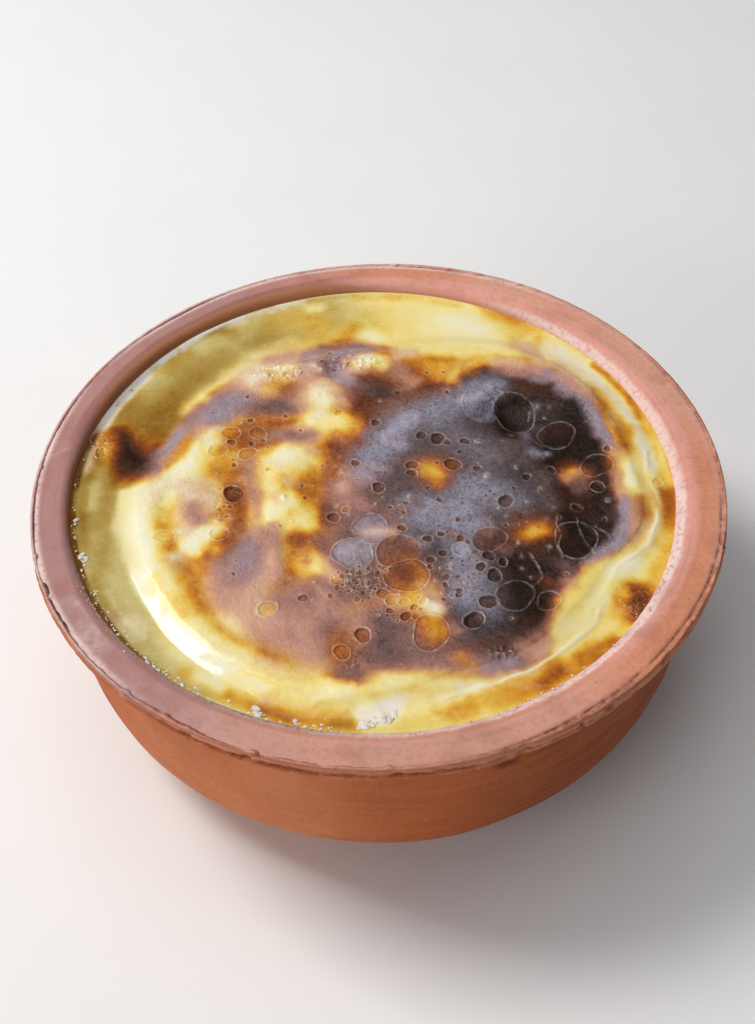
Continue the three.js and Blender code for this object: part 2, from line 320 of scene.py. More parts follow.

# Sharp creases of the dried skin: height, half width, painted highlight on top, and the points each runs
# through.
SEEN_CREASES = [
    (0.34, 0.30, 1.0, [(35, -11), (35.4, -15), (37, -19.5)]),
    (0.28, 0.26, 1.0, [(38, -13), (39.8, -15), (40.5, -17)]),
    (0.34, 0.28, 1.0, [(26, -19), (27.2, -22), (27.5, -24.5), (26, -26)]),
    (0.30, 0.26, 1.0, [(31.5, -10.8), (31.2, -12.6), (31.8, -14.5), (31, -17), (31.5, -20)]),
    (0.30, 0.30, 0.9, [(22, 24.2), (24, 23), (25.2, 21.8)]),
    (0.30, 0.28, 0.25, [(22.2, 20.5), (25, 22.1), (28, 21.4), (31, 20), (34, 19.5)]),
    (0.28, 0.28, 0.6, [(29, 9.4), (30.2, 7.6), (32, 6.9), (35, 6.6)]),
]

# Crumbly spots of packed small bubbles: x, y, half sizes, turn, roughness.
SEEN_CRUMBLY = [
    (-2.5, -23.5, 3.0, 2.6, 0, 0.25), (42.6, -29.8, 2.8, 3.2, 20, 0.14), (19.5, -39.5, 2.2, 1.2, 0, 0.3),
    (-19.5, 30.5, 5.5, 2.4, -15, 0.28), (-1.2, 32.6, 2.8, 2.0, 0, 0.3), (-51.8, 10.5, 2.0, 3.0, 20, 0.2),
    (-4.8, -41.3, 1.5, 0.9, 0, 0.3),
]

# The thin wavering line along the top of the fold.
SEEN_CREST = [
    (50, 5), (49.2, -1), (49.8, -6), (49.4, -11), (47.4, -16), (44.8, -19.6), (41, -22),
    (38.4, -26), (36.8, -30), (35.4, -34), (32.4, -37), (29, -39.8), (25, -42.8), (20, -45),
    (14, -47), (9.6, -48.4),
]


def ring_radius(ring, angle, seed):
    """A ring isn't quite round."""
    rng = np.random.default_rng(seed)
    phase = rng.uniform(0, math.tau, 3)
    bends = 0.10 * np.cos(2 * angle + phase[0]) + 0.045 * np.cos(3 * angle + phase[1])
    return ring[2] * (1 + bends + 0.015 * np.cos(5 * angle + phase[2]))


def scatter_pinholes(count, seed):
    """Small burst bubbles all over the scorched skin, thickest in its blistered middle."""
    rng = np.random.default_rng(seed)
    holes = []
    while len(holes) < count:
        x, y = rng.uniform(-30, 44), rng.uniform(-42, 34)
        crowd = 0.25 + 0.75 * math.exp(-((x - 12) ** 2 + (y + 16) ** 2) / 17 ** 2)
        scorched = math.hypot((x - 14) / 28, y / 35) < 1 or math.hypot((x + 20) / 12, (y + 6) / 32) < 1
        radius = 0.17 + 0.5 * rng.random() ** 2.4
        if not scorched or rng.random() > crowd:
            continue
        if any(math.hypot(x - o[0], y - o[1]) < radius + o[2] + 0.25 for o in holes + SEEN_RINGS):
            continue
        kind = "open" if rng.random() < 0.72 else "pearl"
        holes.append((x, y, radius, kind))
    return holes


def scatter_ringlets(cx, cy, a, b, count, kinds, seed):
    """Small bubbles crowded against each other round a place."""
    rng = np.random.default_rng(seed)
    found = []
    for _ in range(60 * count):
        if len(found) == count:
            break
        turn, far = rng.uniform(0, math.tau), math.sqrt(rng.random())
        x, y = cx + a * far * math.cos(turn), cy + b * far * math.sin(turn)
        radius = 0.28 + 0.62 * rng.random() ** 1.8
        if all(math.hypot(x - o[0], y - o[1]) > 0.92 * (radius + o[2]) for o in found + SEEN_RINGS):
            found.append((x, y, radius, kinds[len(found) % len(kinds)]))
    return found


RINGLETS = (
    scatter_ringlets(-3, -24, 5.4, 4.2, 42, ("open", "flat", "flat"), 11)
    + scatter_ringlets(12, -21, 5.0, 8.0, 26, ("open", "flat", "pearl"), 12)
    + scatter_ringlets(3, -29.5, 4.5, 3.0, 14, ("flat", "open"), 13)
    + scatter_ringlets(-8, 33, 4.5, 3.2, 16, ("pearl", "pearl", "open"), 14)
    + scatter_ringlets(-19, 30, 5.0, 2.4, 12, ("flat", "pearl"), 15)
    + scatter_ringlets(-25, 9, 5.0, 5.5, 12, ("flat", "open"), 16)
    + scatter_ringlets(-27.4, -6, 1.8, 6.0, 12, ("flat", "pearl", "flat"), 17)
)
PINHOLES = scatter_pinholes(130, 5)
RINGS = [(x, set_back(x, y), r, kind) for x, y, r, kind in SEEN_RINGS + RINGLETS + PINHOLES]
CREST = [(x, set_back(x, y)) for x, y in SEEN_CREST]
CREASES = [(*form, [(x, set_back(x, y)) for x, y in path]) for *form, path in SEEN_CREASES]
CRUMBLY = [(x, set_back(x, y), a, b, turn, rough) for x, y, a, b, turn, rough in SEEN_CRUMBLY]


def crest_distance(x, y):
    """Distance from the crest's line, which wavers."""
    here = np.c_[x, y]
    shaken = x + 0.40 * noise(here, 2.4, 48, 2), y + 0.40 * noise(here, 2.4, 49, 2)
    return path_distance(*shaken, curve_through(CREST))


def crest_strength(x, y):
    """The crest is broken here and there, and fades where the fold is broad."""
    faded = bell((y - CREST_GAP) / CREST_GAP_WIDTH)
    return (1 - 0.9 * faded) * smooth(1.0 + 1.1 * noise(np.c_[x, y], 3.6, 68))


def folded_waves(x, y):
    """Soft folds in the loose skin at the front and at the back right."""
    waves = smooth(1.5 - ellipse_distance(x, y, *FRONT_WAVES))
    waves = np.maximum(waves, smooth(1.4 - ellipse_distance(x, y, *BACK_WAVES)))
    folded = 1 - np.abs(noise(np.c_[x / 2.0 + 0.3 * y, y], 2.3, 47, 2))
    return 0.30 * waves * (np.square(folded) - 0.6)


def knobbly_lumps(x, y):
    """The uneven milk between the lumps at the left."""
    here = np.c_[x, y]
    knobbly = smooth(1.35 - ellipse_distance(x, y, *KNOBBLY))
    return knobbly * (0.10 * noise(here, 1.9, 44, 2) + 0.07 * np.abs(noise(here, 0.9, 45, 2)))


def relief_of_ring(kind, radius):
    """Rim height, rim half width and floor depth of a ring, in mm."""
    rim = min(0.19, 0.08 + 0.05 * radius)
    width = min(0.15, 0.09 + 0.04 * radius)
    floors = {"open": -0.30 * radius, "flat": -0.10, "pale": 0.02, "pearl": 0.45 * radius, "well": -0.6}
    return rim, width, max(floors[kind], -1.1)


def add_rings(detail, x, y):
    """Raise each ring's broken rim, and sink or swell its floor."""
    for index, ring in enumerate(RINGS):
        cx, cy, radius, kind = ring
        near = np.hypot(x - cx, y - cy) < radius * 1.3 + 1.2
        if not near.any():
            continue
        dx, dy = x[near] - cx, y[near] - cy
        rim_at = ring_radius(ring, np.arctan2(dy, dx), index)
        far = np.hypot(dx, dy)
        rim, width, floor = relief_of_ring(kind, radius)
        broken = 0.55 + 0.75 * noise(np.c_[x[near], y[near]], 1.5, 46)
        detail[near] += rim * np.clip(broken, 0.1, 1) * bell((far - rim_at) / width)
        detail[near] += floor * smooth((rim_at - far) / (0.35 * radius + 0.12) + 0.1)


def add_crumbs(detail, x, y):
    """Roughen the crumbly spots with packed bubbles of two sizes."""
    for cx, cy, a, b, turn, rough in CRUMBLY:
        spot = smooth(1.5 - ellipse_distance(x, y, cx, cy, a, b, turn))
        near = spot > 0
        packed = cells(x[near], y[near], CRUMB, 51) + 0.4 * cells(x[near], y[near], SMALL_CRUMB, 53)
        detail[near] += spot[near] * rough * (packed - 0.4)


def skin_height(x, y):
    """Height of the skin above FILL_LEVEL, with its creases, bubbles and crumbs."""
    detail = CREST_HEIGHT * crest_strength(x, y) * bell(crest_distance(x, y) / CREST_WIDTH)
    detail += folded_waves(x, y)
    detail += knobbly_lumps(x, y)
    for lift, width, _, points in CREASES:
        detail += lift * bell(path_distance(x, y, curve_through(points)) / (0.6 * width))
    add_rings(detail, x, y)
    add_crumbs(detail, x, y)
    inset = np.clip(wall_distance(x, y), 0, None)
    lift = MENISCUS_HEIGHT * np.exp(-inset / MENISCUS_WIDTH)
    return np.minimum(ground(x, y) + detail * smooth(inset / 0.5) + lift, SKIN_CEILING)


# ---------------------------------------------------------------- the pudding's browning

# What each tone means: browning (0 cream, 1 charred), dry skin, haze of painted sheen, whey.
# The haze is a painted sheen of light on the glossy skin, partly the milk's own pale cast.
TONES = {
    "cream": (0.00, 0.0, 0.0, 0.0), "butter": (0.10, 0.0, 0.0, 0.0), "lemon": (0.20, 0.0, 0.0, 0.0),
    "gold": (0.30, 0.0, 0.0, 0.0), "amber": (0.40, 0.0, 0.0, 0.0), "orange": (0.50, 0.0, 0.0, 0.0),
    "rust": (0.60, 0.0, 0.0, 0.0), "mahogany": (0.76, 0.0, 0.0, 0.0), "char": (0.97, 0.0, 0.0, 0.0),
    "whey": (0.24, 0.0, 0.0, 1.0), "thin_whey": (0.12, 0.0, 0.0, 0.9), "bronze": (0.50, 0.0, 0.0, 1.0),
    "ivory": (0.06, 1.0, 0.0, 0.0), "peach": (0.20, 1.0, 0.0, 0.0), "pink": (0.34, 1.0, 0.0, 0.0),
    "mauve": (0.47, 1.0, 0.0, 0.0), "plum": (0.61, 1.0, 0.0, 0.0), "slate": (0.76, 1.0, 0.0, 0.0),
    "soot": (0.90, 1.0, 0.0, 0.0), "lavender": (0.50, 1.0, 0.65, 0.0), "sheen_mist": (0.68, 1.0, 0.75, 0.0),
    "sheen_frost": (0.50, 1.0, 1.0, 0.0), "white": (0.0, 0.3, 0.8, 0.0), "deep_whey": (0.37, 0.0, 0.0, 1.0),
    "honey": (0.40, 0.4, 0.0, 0.0),
}

# Tones of the milk line and the crest, both partly painted highlight, and of the burnt whey at the left
# shore.
MILK_AND_GLEAM_TONE = (0.0, 0.3, 0.95, 0.0)
CREST_AND_HIGHLIGHT_TONE = (0.04, 0.7, 0.15, 0.0)
SHORE_TONE = (0.66, 0.0, 0.0, 1.0)

# Painted in order: tone, half width and softness in mm, strength, and the path of each stroke.
STROKES = [
    # the moat: whey at the left and back left, pale yellow at the back
    ("lemon", 9, 13.6, 1.0, arc(46, 40, 100)),
    ("whey", 8, 13.6, 1.0, arc(47, 100, 178)),
    ("whey", 5.5, 4.0, 1.0, arc(50, 165, 236)),
    ("whey", 3.0, 4.0, 0.6, [(-50, -6), (-50, -13)]),
    ("thin_whey", 5.0, 5.0, 0.8, arc(48, 204, 232)),
    ("thin_whey", 3.0, 10.4, 0.6, [(-36, 43), (-34, 36)]),
    ("thin_whey", 2.0, 7.2, 0.5, [(-48.5, 27), (-44, 27)]),
    ("thin_whey", 1.3, 5.6, 0.8, [(-45.6, 15.6), (-42.4, 10.6)]),
    ("thin_whey", 2.0, 8.8, 0.5, [(-27, 45), (-26, 38)]),
    ("thin_whey", 2.4, 8.8, 0.6, [(-4, 51), (-4.5, 45)]),
    ("gold", 4.5, 13.6, 0.6, [(-15, 46), (-9, 42.5)]),
    ("butter", 7, 15.2, 0.75, [(12, 44), (23, 40)]),
    ("cream", 3.2, 12.0, 0.9, [(17, 44), (22.5, 42)]),
    ("butter", 3.0, 10.4, 0.6, [(-1, 51), (8, 50)]),
    ("gold", 3.0, 10.4, 0.5, [(2, 46), (1, 43)]),
    ("bronze", 0.9, 7.4, 0.9, [(-34.7, 28.4), (-34.3, 29.4)]),
    ("bronze", 2.6, 8.0, 1.0, [(-38.6, 22), (-40.6, 17), (-40.6, 12)]),
    ("bronze", 2.6, 10.4, 0.8, [(-47.6, 22), (-47, 17)]),
    ("bronze", 0.9, 6.0, 0.8, [(-31.4, 43.1), (-29.6, 43.3)]),
    ("bronze", 1.5, 10.4, 0.5, [(-23.6, 39.6), (-22.4, 41.5)]),
    ("bronze", 1.2, 7.4, 0.5, [(-40.6, 34), (-38.4, 36)]),
    ("bronze", 1.6, 4.0, 1.0, [(-48.4, 4.6), (-48, 1.6)]),
    ("rust", 0.8, 3.6, 0.7, [(-42.4, 12.4), (-41.8, 7.6)]),
    ("amber", 1.2, 7.4, 0.55, [(-12.2, 46.5), (-11, 44)]),
    ("bronze", 1.5, 7.2, 0.5, [(-48.7, -3), (-48.2, -9)]),
    ("bronze", 1.4, 7.2, 0.6, [(-49.6, -15.5), (-48.2, -18.5)]),
    ("bronze", 0.9, 3.0, 0.8, arc(53.2, 170, 226)),
    # the front moat
    ("lemon", 4.5, 7.2, 1.0, arc(47.5, 226, 300)),
    ("thin_whey", 2.2, 7.2, 0.8, [(-42, -34), (-35, -40), (-31.5, -42.3)]),
    ("gold", 1.2, 4.4, 0.8, arc(51.6, 240, 262)),
    ("amber", 1.0, 4.0, 0.95, arc(52.6, 232, 262)),
    ("orange", 0.8, 2.9, 0.85, [(-24, -46.6), (-17, -49.9), (-9, -52.5)]),
    ("rust", 0.7, 2.6, 0.7, [(-21, -48.6), (-16.5, -50.6), (-14.5, -51.4)]),
    ("orange", 0.9, 3.2, 0.8, [(-8, -52.6), (-4.5, -53)]),
    ("gold", 1.4, 5.6, 0.7, [(-17, -48), (-10, -50), (-6, -50.6)]),
    ("amber", 1.0, 3.8, 0.7, [(-8.5, -49.6), (-6.4, -49.6)]),
    ("gold", 2.4, 7.2, 0.9, arc(50.5, 266, 300)),
    ("butter", 1.6, 5.6, 0.7, [(1.5, -50.6), (5, -50.2)]),
    # the front right slope outside the fold
    ("amber", 2.0, 4.8, 1.0, arc(51, 290, 312)),
    ("orange", 1.4, 5.6, 0.85, [(10.2, -49.4), (12.6, -49.2)]),
    ("gold", 1.2, 3.8, 0.7, [(15.5, -48.4), (17.5, -47.8)]),
    ("orange", 1.6, 5.6, 0.95, [(20, -47.6), (25.5, -45.6), (29, -43.4)]),
    ("rust", 1.0, 3.8, 0.85, [(25, -46.2), (29.4, -43.2)]),
    ("amber", 1.4, 4.6, 0.9, [(29.4, -41), (31.4, -43)]),
    ("orange", 1.6, 4.0, 1.0, [(33, -42.2), (38.6, -38.8)]),
    ("rust", 0.9, 3.8, 0.7, [(34, -40.6), (36.4, -39.2)]),
    ("lemon", 3.4, 7.2, 1.0, [(40, -33), (47, -22)]),
    ("gold", 2.4, 7.2, 1.0, [(47.6, -21), (50.6, -15)]),
    ("amber", 0.8, 3.8, 0.8, [(45.4, -28), (50.2, -18)]),
    ("amber", 0.8, 4.0, 0.9, [(51, -12), (50.2, -17), (48, -21.6)]),
    ("gold", 1.8, 4.4, 1.0, [(37.6, -36), (40, -33.2)]),
    ("amber", 0.8, 3.4, 0.8, [(38.6, -36), (41, -33.6)]),
    ("butter", 1.4, 5.6, 0.7, [(46.4, -20), (48.4, -16)]),
    ("orange", 2.6, 4.4, 1.0, [(51.9, -3.8), (51.6, -11.4)]),
    ("rust", 0.8, 3.8, 0.7, [(52.6, -5), (52.2, -9.5)]),
    ("lemon", 2.4, 5.0, 1.0, [(51.6, -1.2), (51.8, 7)]),
    ("butter", 1.0, 3.2, 0.8, [(52.4, 4.5), (51.6, 9)]),
    ("gold", 0.7, 2.4, 0.7, [(49.6, -2.4), (50.8, -1.2), (51.8, -2.6)]),
    ("orange", 0.6, 1.9, 0.9, [(53.9, -1), (53.8, 6), (52.7, 13), (50.6, 19.4), (46, 28.4),
                               (41.5, 34.6)]),
    ("orange", 1.5, 3.0, 1.0, [(51.8, 11), (49.8, 19), (47, 25)]),
    ("amber", 0.8, 2.6, 0.9, [(49.4, 20.6), (46.6, 26)]),
    # cream band and streaked folds at the back right
    ("butter", 3.6, 7.2, 1.0, [(44, 27), (38, 33.5), (31, 38.5)]),
    ("ivory", 1.4, 4.6, 0.8, [(49.8, 4), (49, 13), (46.4, 21.6), (42, 29.4), (37.5, 34)]),
    ("peach", 0.8, 2.9, 0.7, [(48.6, 16.5), (45.6, 23), (41, 28.4)]),
    ("amber", 0.7, 3.8, 0.7, [(44.6, 30.6), (38.6, 37)]),
    ("gold", 2.6, 7.2, 0.9, [(26.4, 45), (30, 40), (34.5, 40.5)]),
    ("amber", 1.4, 5.6, 0.9, [(24.4, 47.4), (28, 45), (32.4, 43)]),
    ("orange", 0.8, 3.8, 0.95, [(28.2, 44.9), (30.4, 44.2)]),
    ("orange", 0.5, 2.4, 0.8, [(21.6, 49.6), (25.5, 47.3), (30.6, 44.6)]),
    ("gold", 0.9, 3.2, 0.9, [(28.5, 38.8), (28.6, 35.6), (30.5, 32)]),
    ("amber", 0.6, 2.6, 0.8, [(33.6, 38.4), (33, 35), (30.6, 33.5)]),
    ("peach", 0.8, 2.6, 0.8, [(29.8, 35), (31, 32)]),
    ("pink", 0.6, 2.4, 0.7, [(31.4, 36.6), (32, 33.5), (33.2, 31.5)]),
    ("ivory", 0.9, 3.2, 0.8, [(35, 36), (37, 33), (38, 30)]),
    # the sheet: a cream shoulder, left and front
    ("butter", 8.0, 2.0, 1.0, [(-39, 2), (-39, -9), (-35.6, -17)]),
    ("butter", 5.4, 1.4, 1.0, [(-39, -14), (-36.4, -20), (-33, -26.4), (-29.4, -31.6), (-24.4, -36.4),
                               (-19, -39.4)]),
    ("cream", 2.8, 1.4, 1.0, [(-44.2, -2), (-44.0, -10), (-42.2, -15.6), (-40.2, -20.6), (-37.6, -26),
                              (-34.4, -31), (-30.8, -35.2), (-27, -38.6)]),
    ("cream", 1.8, 6.0, 0.7, [(-42, -8), (-38.4, -20)]),
    ("butter", 4.0, 6.4, 0.8, [(-34, -24), (-29, -34), (-21, -40), (-13, -43.5)]),
    ("cream", 2.8, 7.2, 0.9, [(-31, -36), (-25, -40.5)]),
    ("lemon", 2.6, 6.4, 0.95, [(-20, -43), (-8, -45.6), (4, -46)]),
    ("cream", 1.6, 5.6, 0.75, [(-9.4, -46), (-5.5, -47)]),
    ("butter", 1.8, 5.6, 0.9, [(0, -44.6), (6, -45.4)]),
    ("cream", 1.0, 3.8, 0.9, [(1, -43.6), (3.6, -43.8)]),
    ("gold", 1.4, 5.6, 0.6, [(6, -46), (10, -46.6)]),
    ("butter", 1.8, 4.6, 0.9, [(9, -45.4), (17, -44.8), (23, -43)]),
    # the edge of the sheet above the burnt hollow, darkened as painted shade
    ("bronze", 1.0, 3.4, 0.7, [(-46.8, 0.6), (-44.4, 2.2)]),
    # left part of the sheet
    ("cream", 2.4, 5.6, 1.0, [(-32.2, 12), (-34.2, 6), (-37.4, 1.6)]),
    ("cream", 1.6, 3.6, 0.9, [(-29.8, 13), (-30.6, 9)]),
    ("ivory", 2.2, 5.6, 0.8, [(-41, -2), (-38, 0)]),
    ("peach", 4.4, 7.2, 0.9, [(-33.6, -2.4), (-31.8, -8.5)]),
    ("pink", 1.8, 5.0, 0.9, [(-33, -6.4), (-31.4, -8.6)]),
    ("ivory", 1.0, 3.2, 0.7, [(-35.5, -1), (-33.8, -3.4)]),
    ("gold", 1.3, 5.0, 1.0, [(-38.2, -4.5), (-38.8, -8), (-38, -11)]),
    ("amber", 0.8, 2.9, 0.9, [(-38.6, -9), (-37.6, -12.5), (-36.4, -14.6)]),
    ("gold", 1.3, 3.6, 1.0, [(-37.8, -13), (-36.8, -17)]),
    ("amber", 1.0, 3.2, 0.6, [(-36.4, -9.6), (-35.6, -12)]),
    ("cream", 1.4, 3.6, 1.0, [(-34.6, -15.4), (-32, -14), (-28.6, -11)]),
    ("ivory", 0.8, 2.6, 0.7, [(-35, -11), (-30.5, -11.4)]),
    ("gold", 2.4, 5.9, 0.9, [(-29.5, 5.6), (-29.4, 9)]),
    ("amber", 0.9, 3.2, 0.6, [(-27.6, 5.5), (-28.6, 9.6)]),
    # whey edge, cream band and lavender band along the upper left of the sheet
    ("butter", 1.6, 4.6, 1.0, [(-37, 19.4), (-32, 24.2), (-27.4, 29.2)]),
    ("amber", 1.0, 2.4, 0.9, [(-28.4, 26), (-26, 28.4), (-25, 30)]),
    ("butter", 2.6, 5.6, 1.0, [(-26.5, 30.4), (-22, 34), (-17.5, 36.6)]),
    ("cream", 1.3, 4.6, 0.9, [(-24.5, 33), (-20, 35)]),
    ("gold", 0.8, 3.8, 0.8, [(-16.5, 38), (-12.5, 38.8)]),
    ("pink", 1.7, 3.6, 1.0, [(-41.5, 3.5), (-38.6, 8.5), (-36.4, 15), (-32, 20), (-27, 25)]),
    ("orange", 0.7, 2.6, 0.9, [(-34.5, 21), (-30.4, 25.6), (-27.6, 28.2)]),
    ("peach", 0.7, 2.4, 0.6, [(-37.6, 17.8), (-34, 21)]),
    ("lavender", 1.3, 3.0, 1.0, [(-41.4, 4.4), (-38.8, 9), (-37, 14), (-35.4, 17)]),
    ("orange", 0.8, 2.6, 0.9, [(-38.4, 5), (-36, 9), (-34.4, 13.4)]),
    ("mauve", 2.2, 4.0, 1.0, [(-35, 17), (-31.4, 20), (-27.4, 24.4)]),
    ("plum", 0.9, 3.2, 0.6, [(-35, 19.4), (-30.4, 23.4)]),
    ("sheen_mist", 1.9, 5.6, 0.9, [(-30.4, 18.6), (-27.6, 22.4), (-25.4, 23.6)]),
    ("lavender", 2.6, 5.6, 0.8, [(-31.6, 17.4), (-26, 20.4)]),
    ("lavender", 0.8, 2.6, 0.9, [(-31, 15.4), (-30, 15.2)]),
    # knobbly cream lumps at the back left
    ("peach", 4.2, 5.9, 1.0, [(-24, 28.4), (-18.5, 31), (-13.6, 30.6)]),
    ("ivory", 1.7, 3.6, 1.0, [(-23.8, 28.4), (-22, 29)]),
    ("ivory", 1.2, 2.9, 0.9, [(-22.5, 32), (-20, 33)]),
    ("cream", 1.0, 2.9, 0.8, [(-18, 31.6), (-15.6, 32)]),
    ("gold", 0.8, 2.5, 0.9, [(-20.8, 30), (-18.4, 28), (-16.4, 30)]),
    ("amber", 0.7, 2.4, 0.8, [(-20.4, 26.2), (-19, 27.4)]),
    ("orange", 1.5, 4.0, 1.0, [(-17.6, 25.6), (-14.8, 26.2)]),
    ("rust", 0.6, 2.4, 0.7, [(-16.8, 25.2), (-15, 25.6)]),
    ("pink", 1.6, 4.6, 1.0, [(-21, 34.6), (-16, 35.4), (-12.4, 33)]),
    ("plum", 3.2, 5.6, 1.0, [(-22, 19.6), (-16, 21)]),
    ("mauve", 1.8, 5.0, 0.9, [(-15, 22), (-13.4, 27), (-13.4, 29)]),
    ("mauve", 2.4, 4.4, 1.0, [(-11.4, 34), (-7, 35.8), (-1, 36)]),
    ("lavender", 2.6, 5.0, 0.9, [(-11.6, 33), (-7, 34), (-3.4, 35.4)]),
    ("slate", 1.3, 4.6, 0.9, [(-10, 33.4), (-8.4, 31)]),
    ("plum", 2.6, 5.0, 0.9, [(-9.4, 30.6), (-6, 29)]),
    ("sheen_mist", 1.9, 4.6, 0.8, [(-6.6, 28.6), (-3.6, 27)]),
    ("white", 1.2, 3.6, 0.9, [(-5.6, 28), (-4.4, 26.4)]),
    ("soot", 0.9, 2.9, 0.5, [(-11, 29.6), (-10.2, 31)]),
    ("plum", 0.7, 2.4, 0.8, [(-10, 37.4), (-6, 38), (1.5, 36.8), (4, 35.4)]),
    ("amber", 0.6, 2.6, 0.8, [(-8, 39), (-5.6, 40), (-4.2, 41.6), (-3.2, 43.6)]),
    ("orange", 0.7, 2.4, 0.9, [(-7, 39), (-4.6, 39.4)]),
    ("amber", 1.1, 4.0, 0.8, [(-5.4, 41.8), (-3.6, 44)]),
    ("cream", 1.5, 4.6, 0.95, [(-0.4, 40.8), (0.8, 39.8)]),
    ("peach", 3.0, 3.6, 1.0, [(-3, 31.6), (1.4, 32)]),
    ("cream", 1.5, 3.4, 1.0, [(-1.4, 32.4), (1.4, 32.6)]),
    ("gold", 0.8, 2.6, 0.8, [(1.6, 31), (0.6, 31.4)]),
    # between the left lumps
    ("mahogany", 3.4, 5.0, 1.0, [(-3.4, 22.5), (-1, 26), (4, 25)]),
    ("plum", 2.8, 6.2, 1.0, [(-3, 24), (-0.6, 18), (0, 12)]),
    ("peach", 4.4, 5.6, 0.9, [(-10.4, 22.8), (-10.2, 22.4)]),
    ("cream", 1.9, 5.0, 1.0, [(-9.8, 23.6), (-9.6, 21.4)]),
    ("ivory", 1.0, 3.6, 0.8, [(-11, 24), (-9.4, 24.2)]),
    ("rust", 1.6, 5.0, 1.0, [(-5.2, 20), (-3.2, 16), (-2.8, 11.6)]),
    ("mahogany", 1.4, 5.0, 0.8, [(-3.4, 21), (-1.8, 16)]),
    ("orange", 1.4, 5.6, 0.9, [(-24, 15.6), (-20, 16)]),
    ("lemon", 3.0, 5.0, 1.0, [(-10.6, 15.6), (-7, 14)]),
    ("butter", 1.6, 5.0, 1.0, [(-11.6, 16), (-9.4, 17)]),
    ("ivory", 0.9, 2.6, 0.8, [(-11.4, 16.6), (-10.2, 17.8)]),
    ("butter", 1.7, 4.6, 0.8, [(-8, 14.6), (-6.6, 14)]),
    ("amber", 1.2, 3.5, 0.9, [(-8.4, 10.8), (-4.4, 11.6), (-4, 14.6)]),
    ("amber", 1.0, 2.6, 1.0, [(-7.6, 18), (-5.6, 18.6)]),
    ("orange", 0.7, 2.4, 0.9, [(-7.4, 19.6), (-4.6, 19), (-3.8, 17)]),
    ("orange", 3.6, 7.2, 1.0, [(-27.6, 12.6), (-22, 13.6)]),
    ("amber", 1.5, 4.3, 0.9, [(-28, 13.6), (-26.8, 13)]),
    ("rust", 1.2, 3.5, 1.0, [(-26.6, 11.4), (-25.2, 9.4)]),
    ("rust", 0.8, 3.2, 0.8, [(-25.2, 15.4), (-24.6, 12.4)]),
    ("mauve", 0.8, 3.2, 0.7, [(-24, 14.6), (-22.6, 13)]),
    ("amber", 1.8, 4.6, 1.0, [(-24.6, 7.6), (-22.6, 8.2)]),
    ("pink", 2.2, 4.4, 1.0, [(-20, 11), (-17, 11.6), (-12.4, 11.6)]),
    ("rust", 1.2, 3.6, 0.9, [(-24.8, 12.6), (-23.4, 9.6)]),
    ("mauve", 2.0, 4.4, 1.0, [(-21, 12), (-15, 12.4)]),
    ("rust", 0.8, 3.0, 0.6, [(-22.6, 10), (-19, 10.4)]),
    ("plum", 0.8, 3.2, 0.6, [(-16, 12.8), (-12, 12.4)]),
    ("lemon", 3.6, 4.6, 1.0, [(-17.6, 5.6), (-13.4, 5)]),
    ("butter", 2.9, 4.6, 1.0, [(-17.6, 6), (-13.4, 5.6)]),
    ("cream", 1.6, 3.6, 1.0, [(-17.6, 7.2), (-13.4, 6)]),
    ("ivory", 0.9, 3.2, 0.8, [(-19.6, 5), (-17.6, 4.2)]),
    # the brown valley right of the lumps
    ("rust", 2.4, 6.0, 1.0, [(-6.6, 10), (-8.6, 4), (-9, -2), (-9.4, -9)]),
    ("pink", 1.2, 3.0, 0.6, [(-7.4, 23), (-6, 21)]),
    ("orange", 2.6, 5.0, 1.0, [(-9.4, 7), (-10.6, 2), (-11.6, -4)]),
    ("amber", 1.7, 4.0, 1.0, [(-12.2, 2.6), (-13.4, 0)]),
    ("gold", 0.9, 3.5, 0.8, [(-14.6, 3.4), (-15, 0.6)]),
    ("orange", 1.9, 5.0, 1.0, [(-12.6, -1.4), (-13.4, -5)]),
    ("rust", 0.9, 3.2, 0.8, [(-14.6, -1), (-14.4, -3.6)]),
    ("mahogany", 1.2, 3.8, 0.9, [(-7.4, 9.4), (-6.6, 6.4)]),
    ("mahogany", 1.4, 4.6, 0.9, [(-8.2, -7.4), (-8.6, -10)]),
    ("lemon", 2.0, 5.3, 1.0, [(-19.8, 2), (-19.6, -1.6)]),
    ("butter", 1.0, 3.2, 0.9, [(-20.4, 1.4), (-20, -1)]),
    ("orange", 0.8, 3.2, 0.8, [(-17.4, 1), (-17, -2.4)]),
    ("orange", 2.4, 5.6, 1.0, [(-28.6, 3.2), (-26.4, 3)]),
    ("rust", 0.8, 3.2, 0.6, [(-27.4, 0.8), (-25.4, 2.8)]),
    ("mauve", 1.3, 5.0, 1.0, [(-24, 6), (-23.4, 2), (-22.4, -4), (-22.4, -7)]),
    ("rust", 2.0, 4.4, 1.0, [(-26.2, -1.6), (-25.4, -6), (-24.6, -10.4)]),
    ("mahogany", 1.4, 4.0, 0.9, [(-26.2, -1.6), (-25.8, -3)]),
    ("orange", 1.6, 4.6, 1.0, [(-28.6, -4), (-28, -7.6)]),
    ("amber", 0.7, 2.6, 0.6, [(-29.4, -2.4), (-29, -5)]),
    ("lemon", 3.2, 4.6, 1.0, [(-20.4, -8), (-16.6, -6.4), (-14.4, -9)]),
    ("orange", 0.9, 3.4, 0.9, [(-24.6, -7.6), (-24, -11)]),
    ("butter", 2.4, 5.3, 1.0, [(-21, -8.6), (-17.6, -5.8)]),
    ("cream", 1.4, 4.3, 0.9, [(-19.6, -7.4), (-16.6, -5)]),
    ("gold", 0.7, 2.9, 0.7, [(-15.6, -7), (-15, -9.4)]),
    ("lemon", 1.4, 3.4, 1.0, [(-13.6, -9), (-12.6, -10.6)]),
    ("butter", 0.8, 2.6, 0.8, [(-13.4, -9.4), (-12.6, -11)]),
    # lower left: mauve and peach skin with its amber border
    ("peach", 8.0, 6.4, 1.0, [(-22.5, -22), (-21.5, -31), (-14, -34)]),
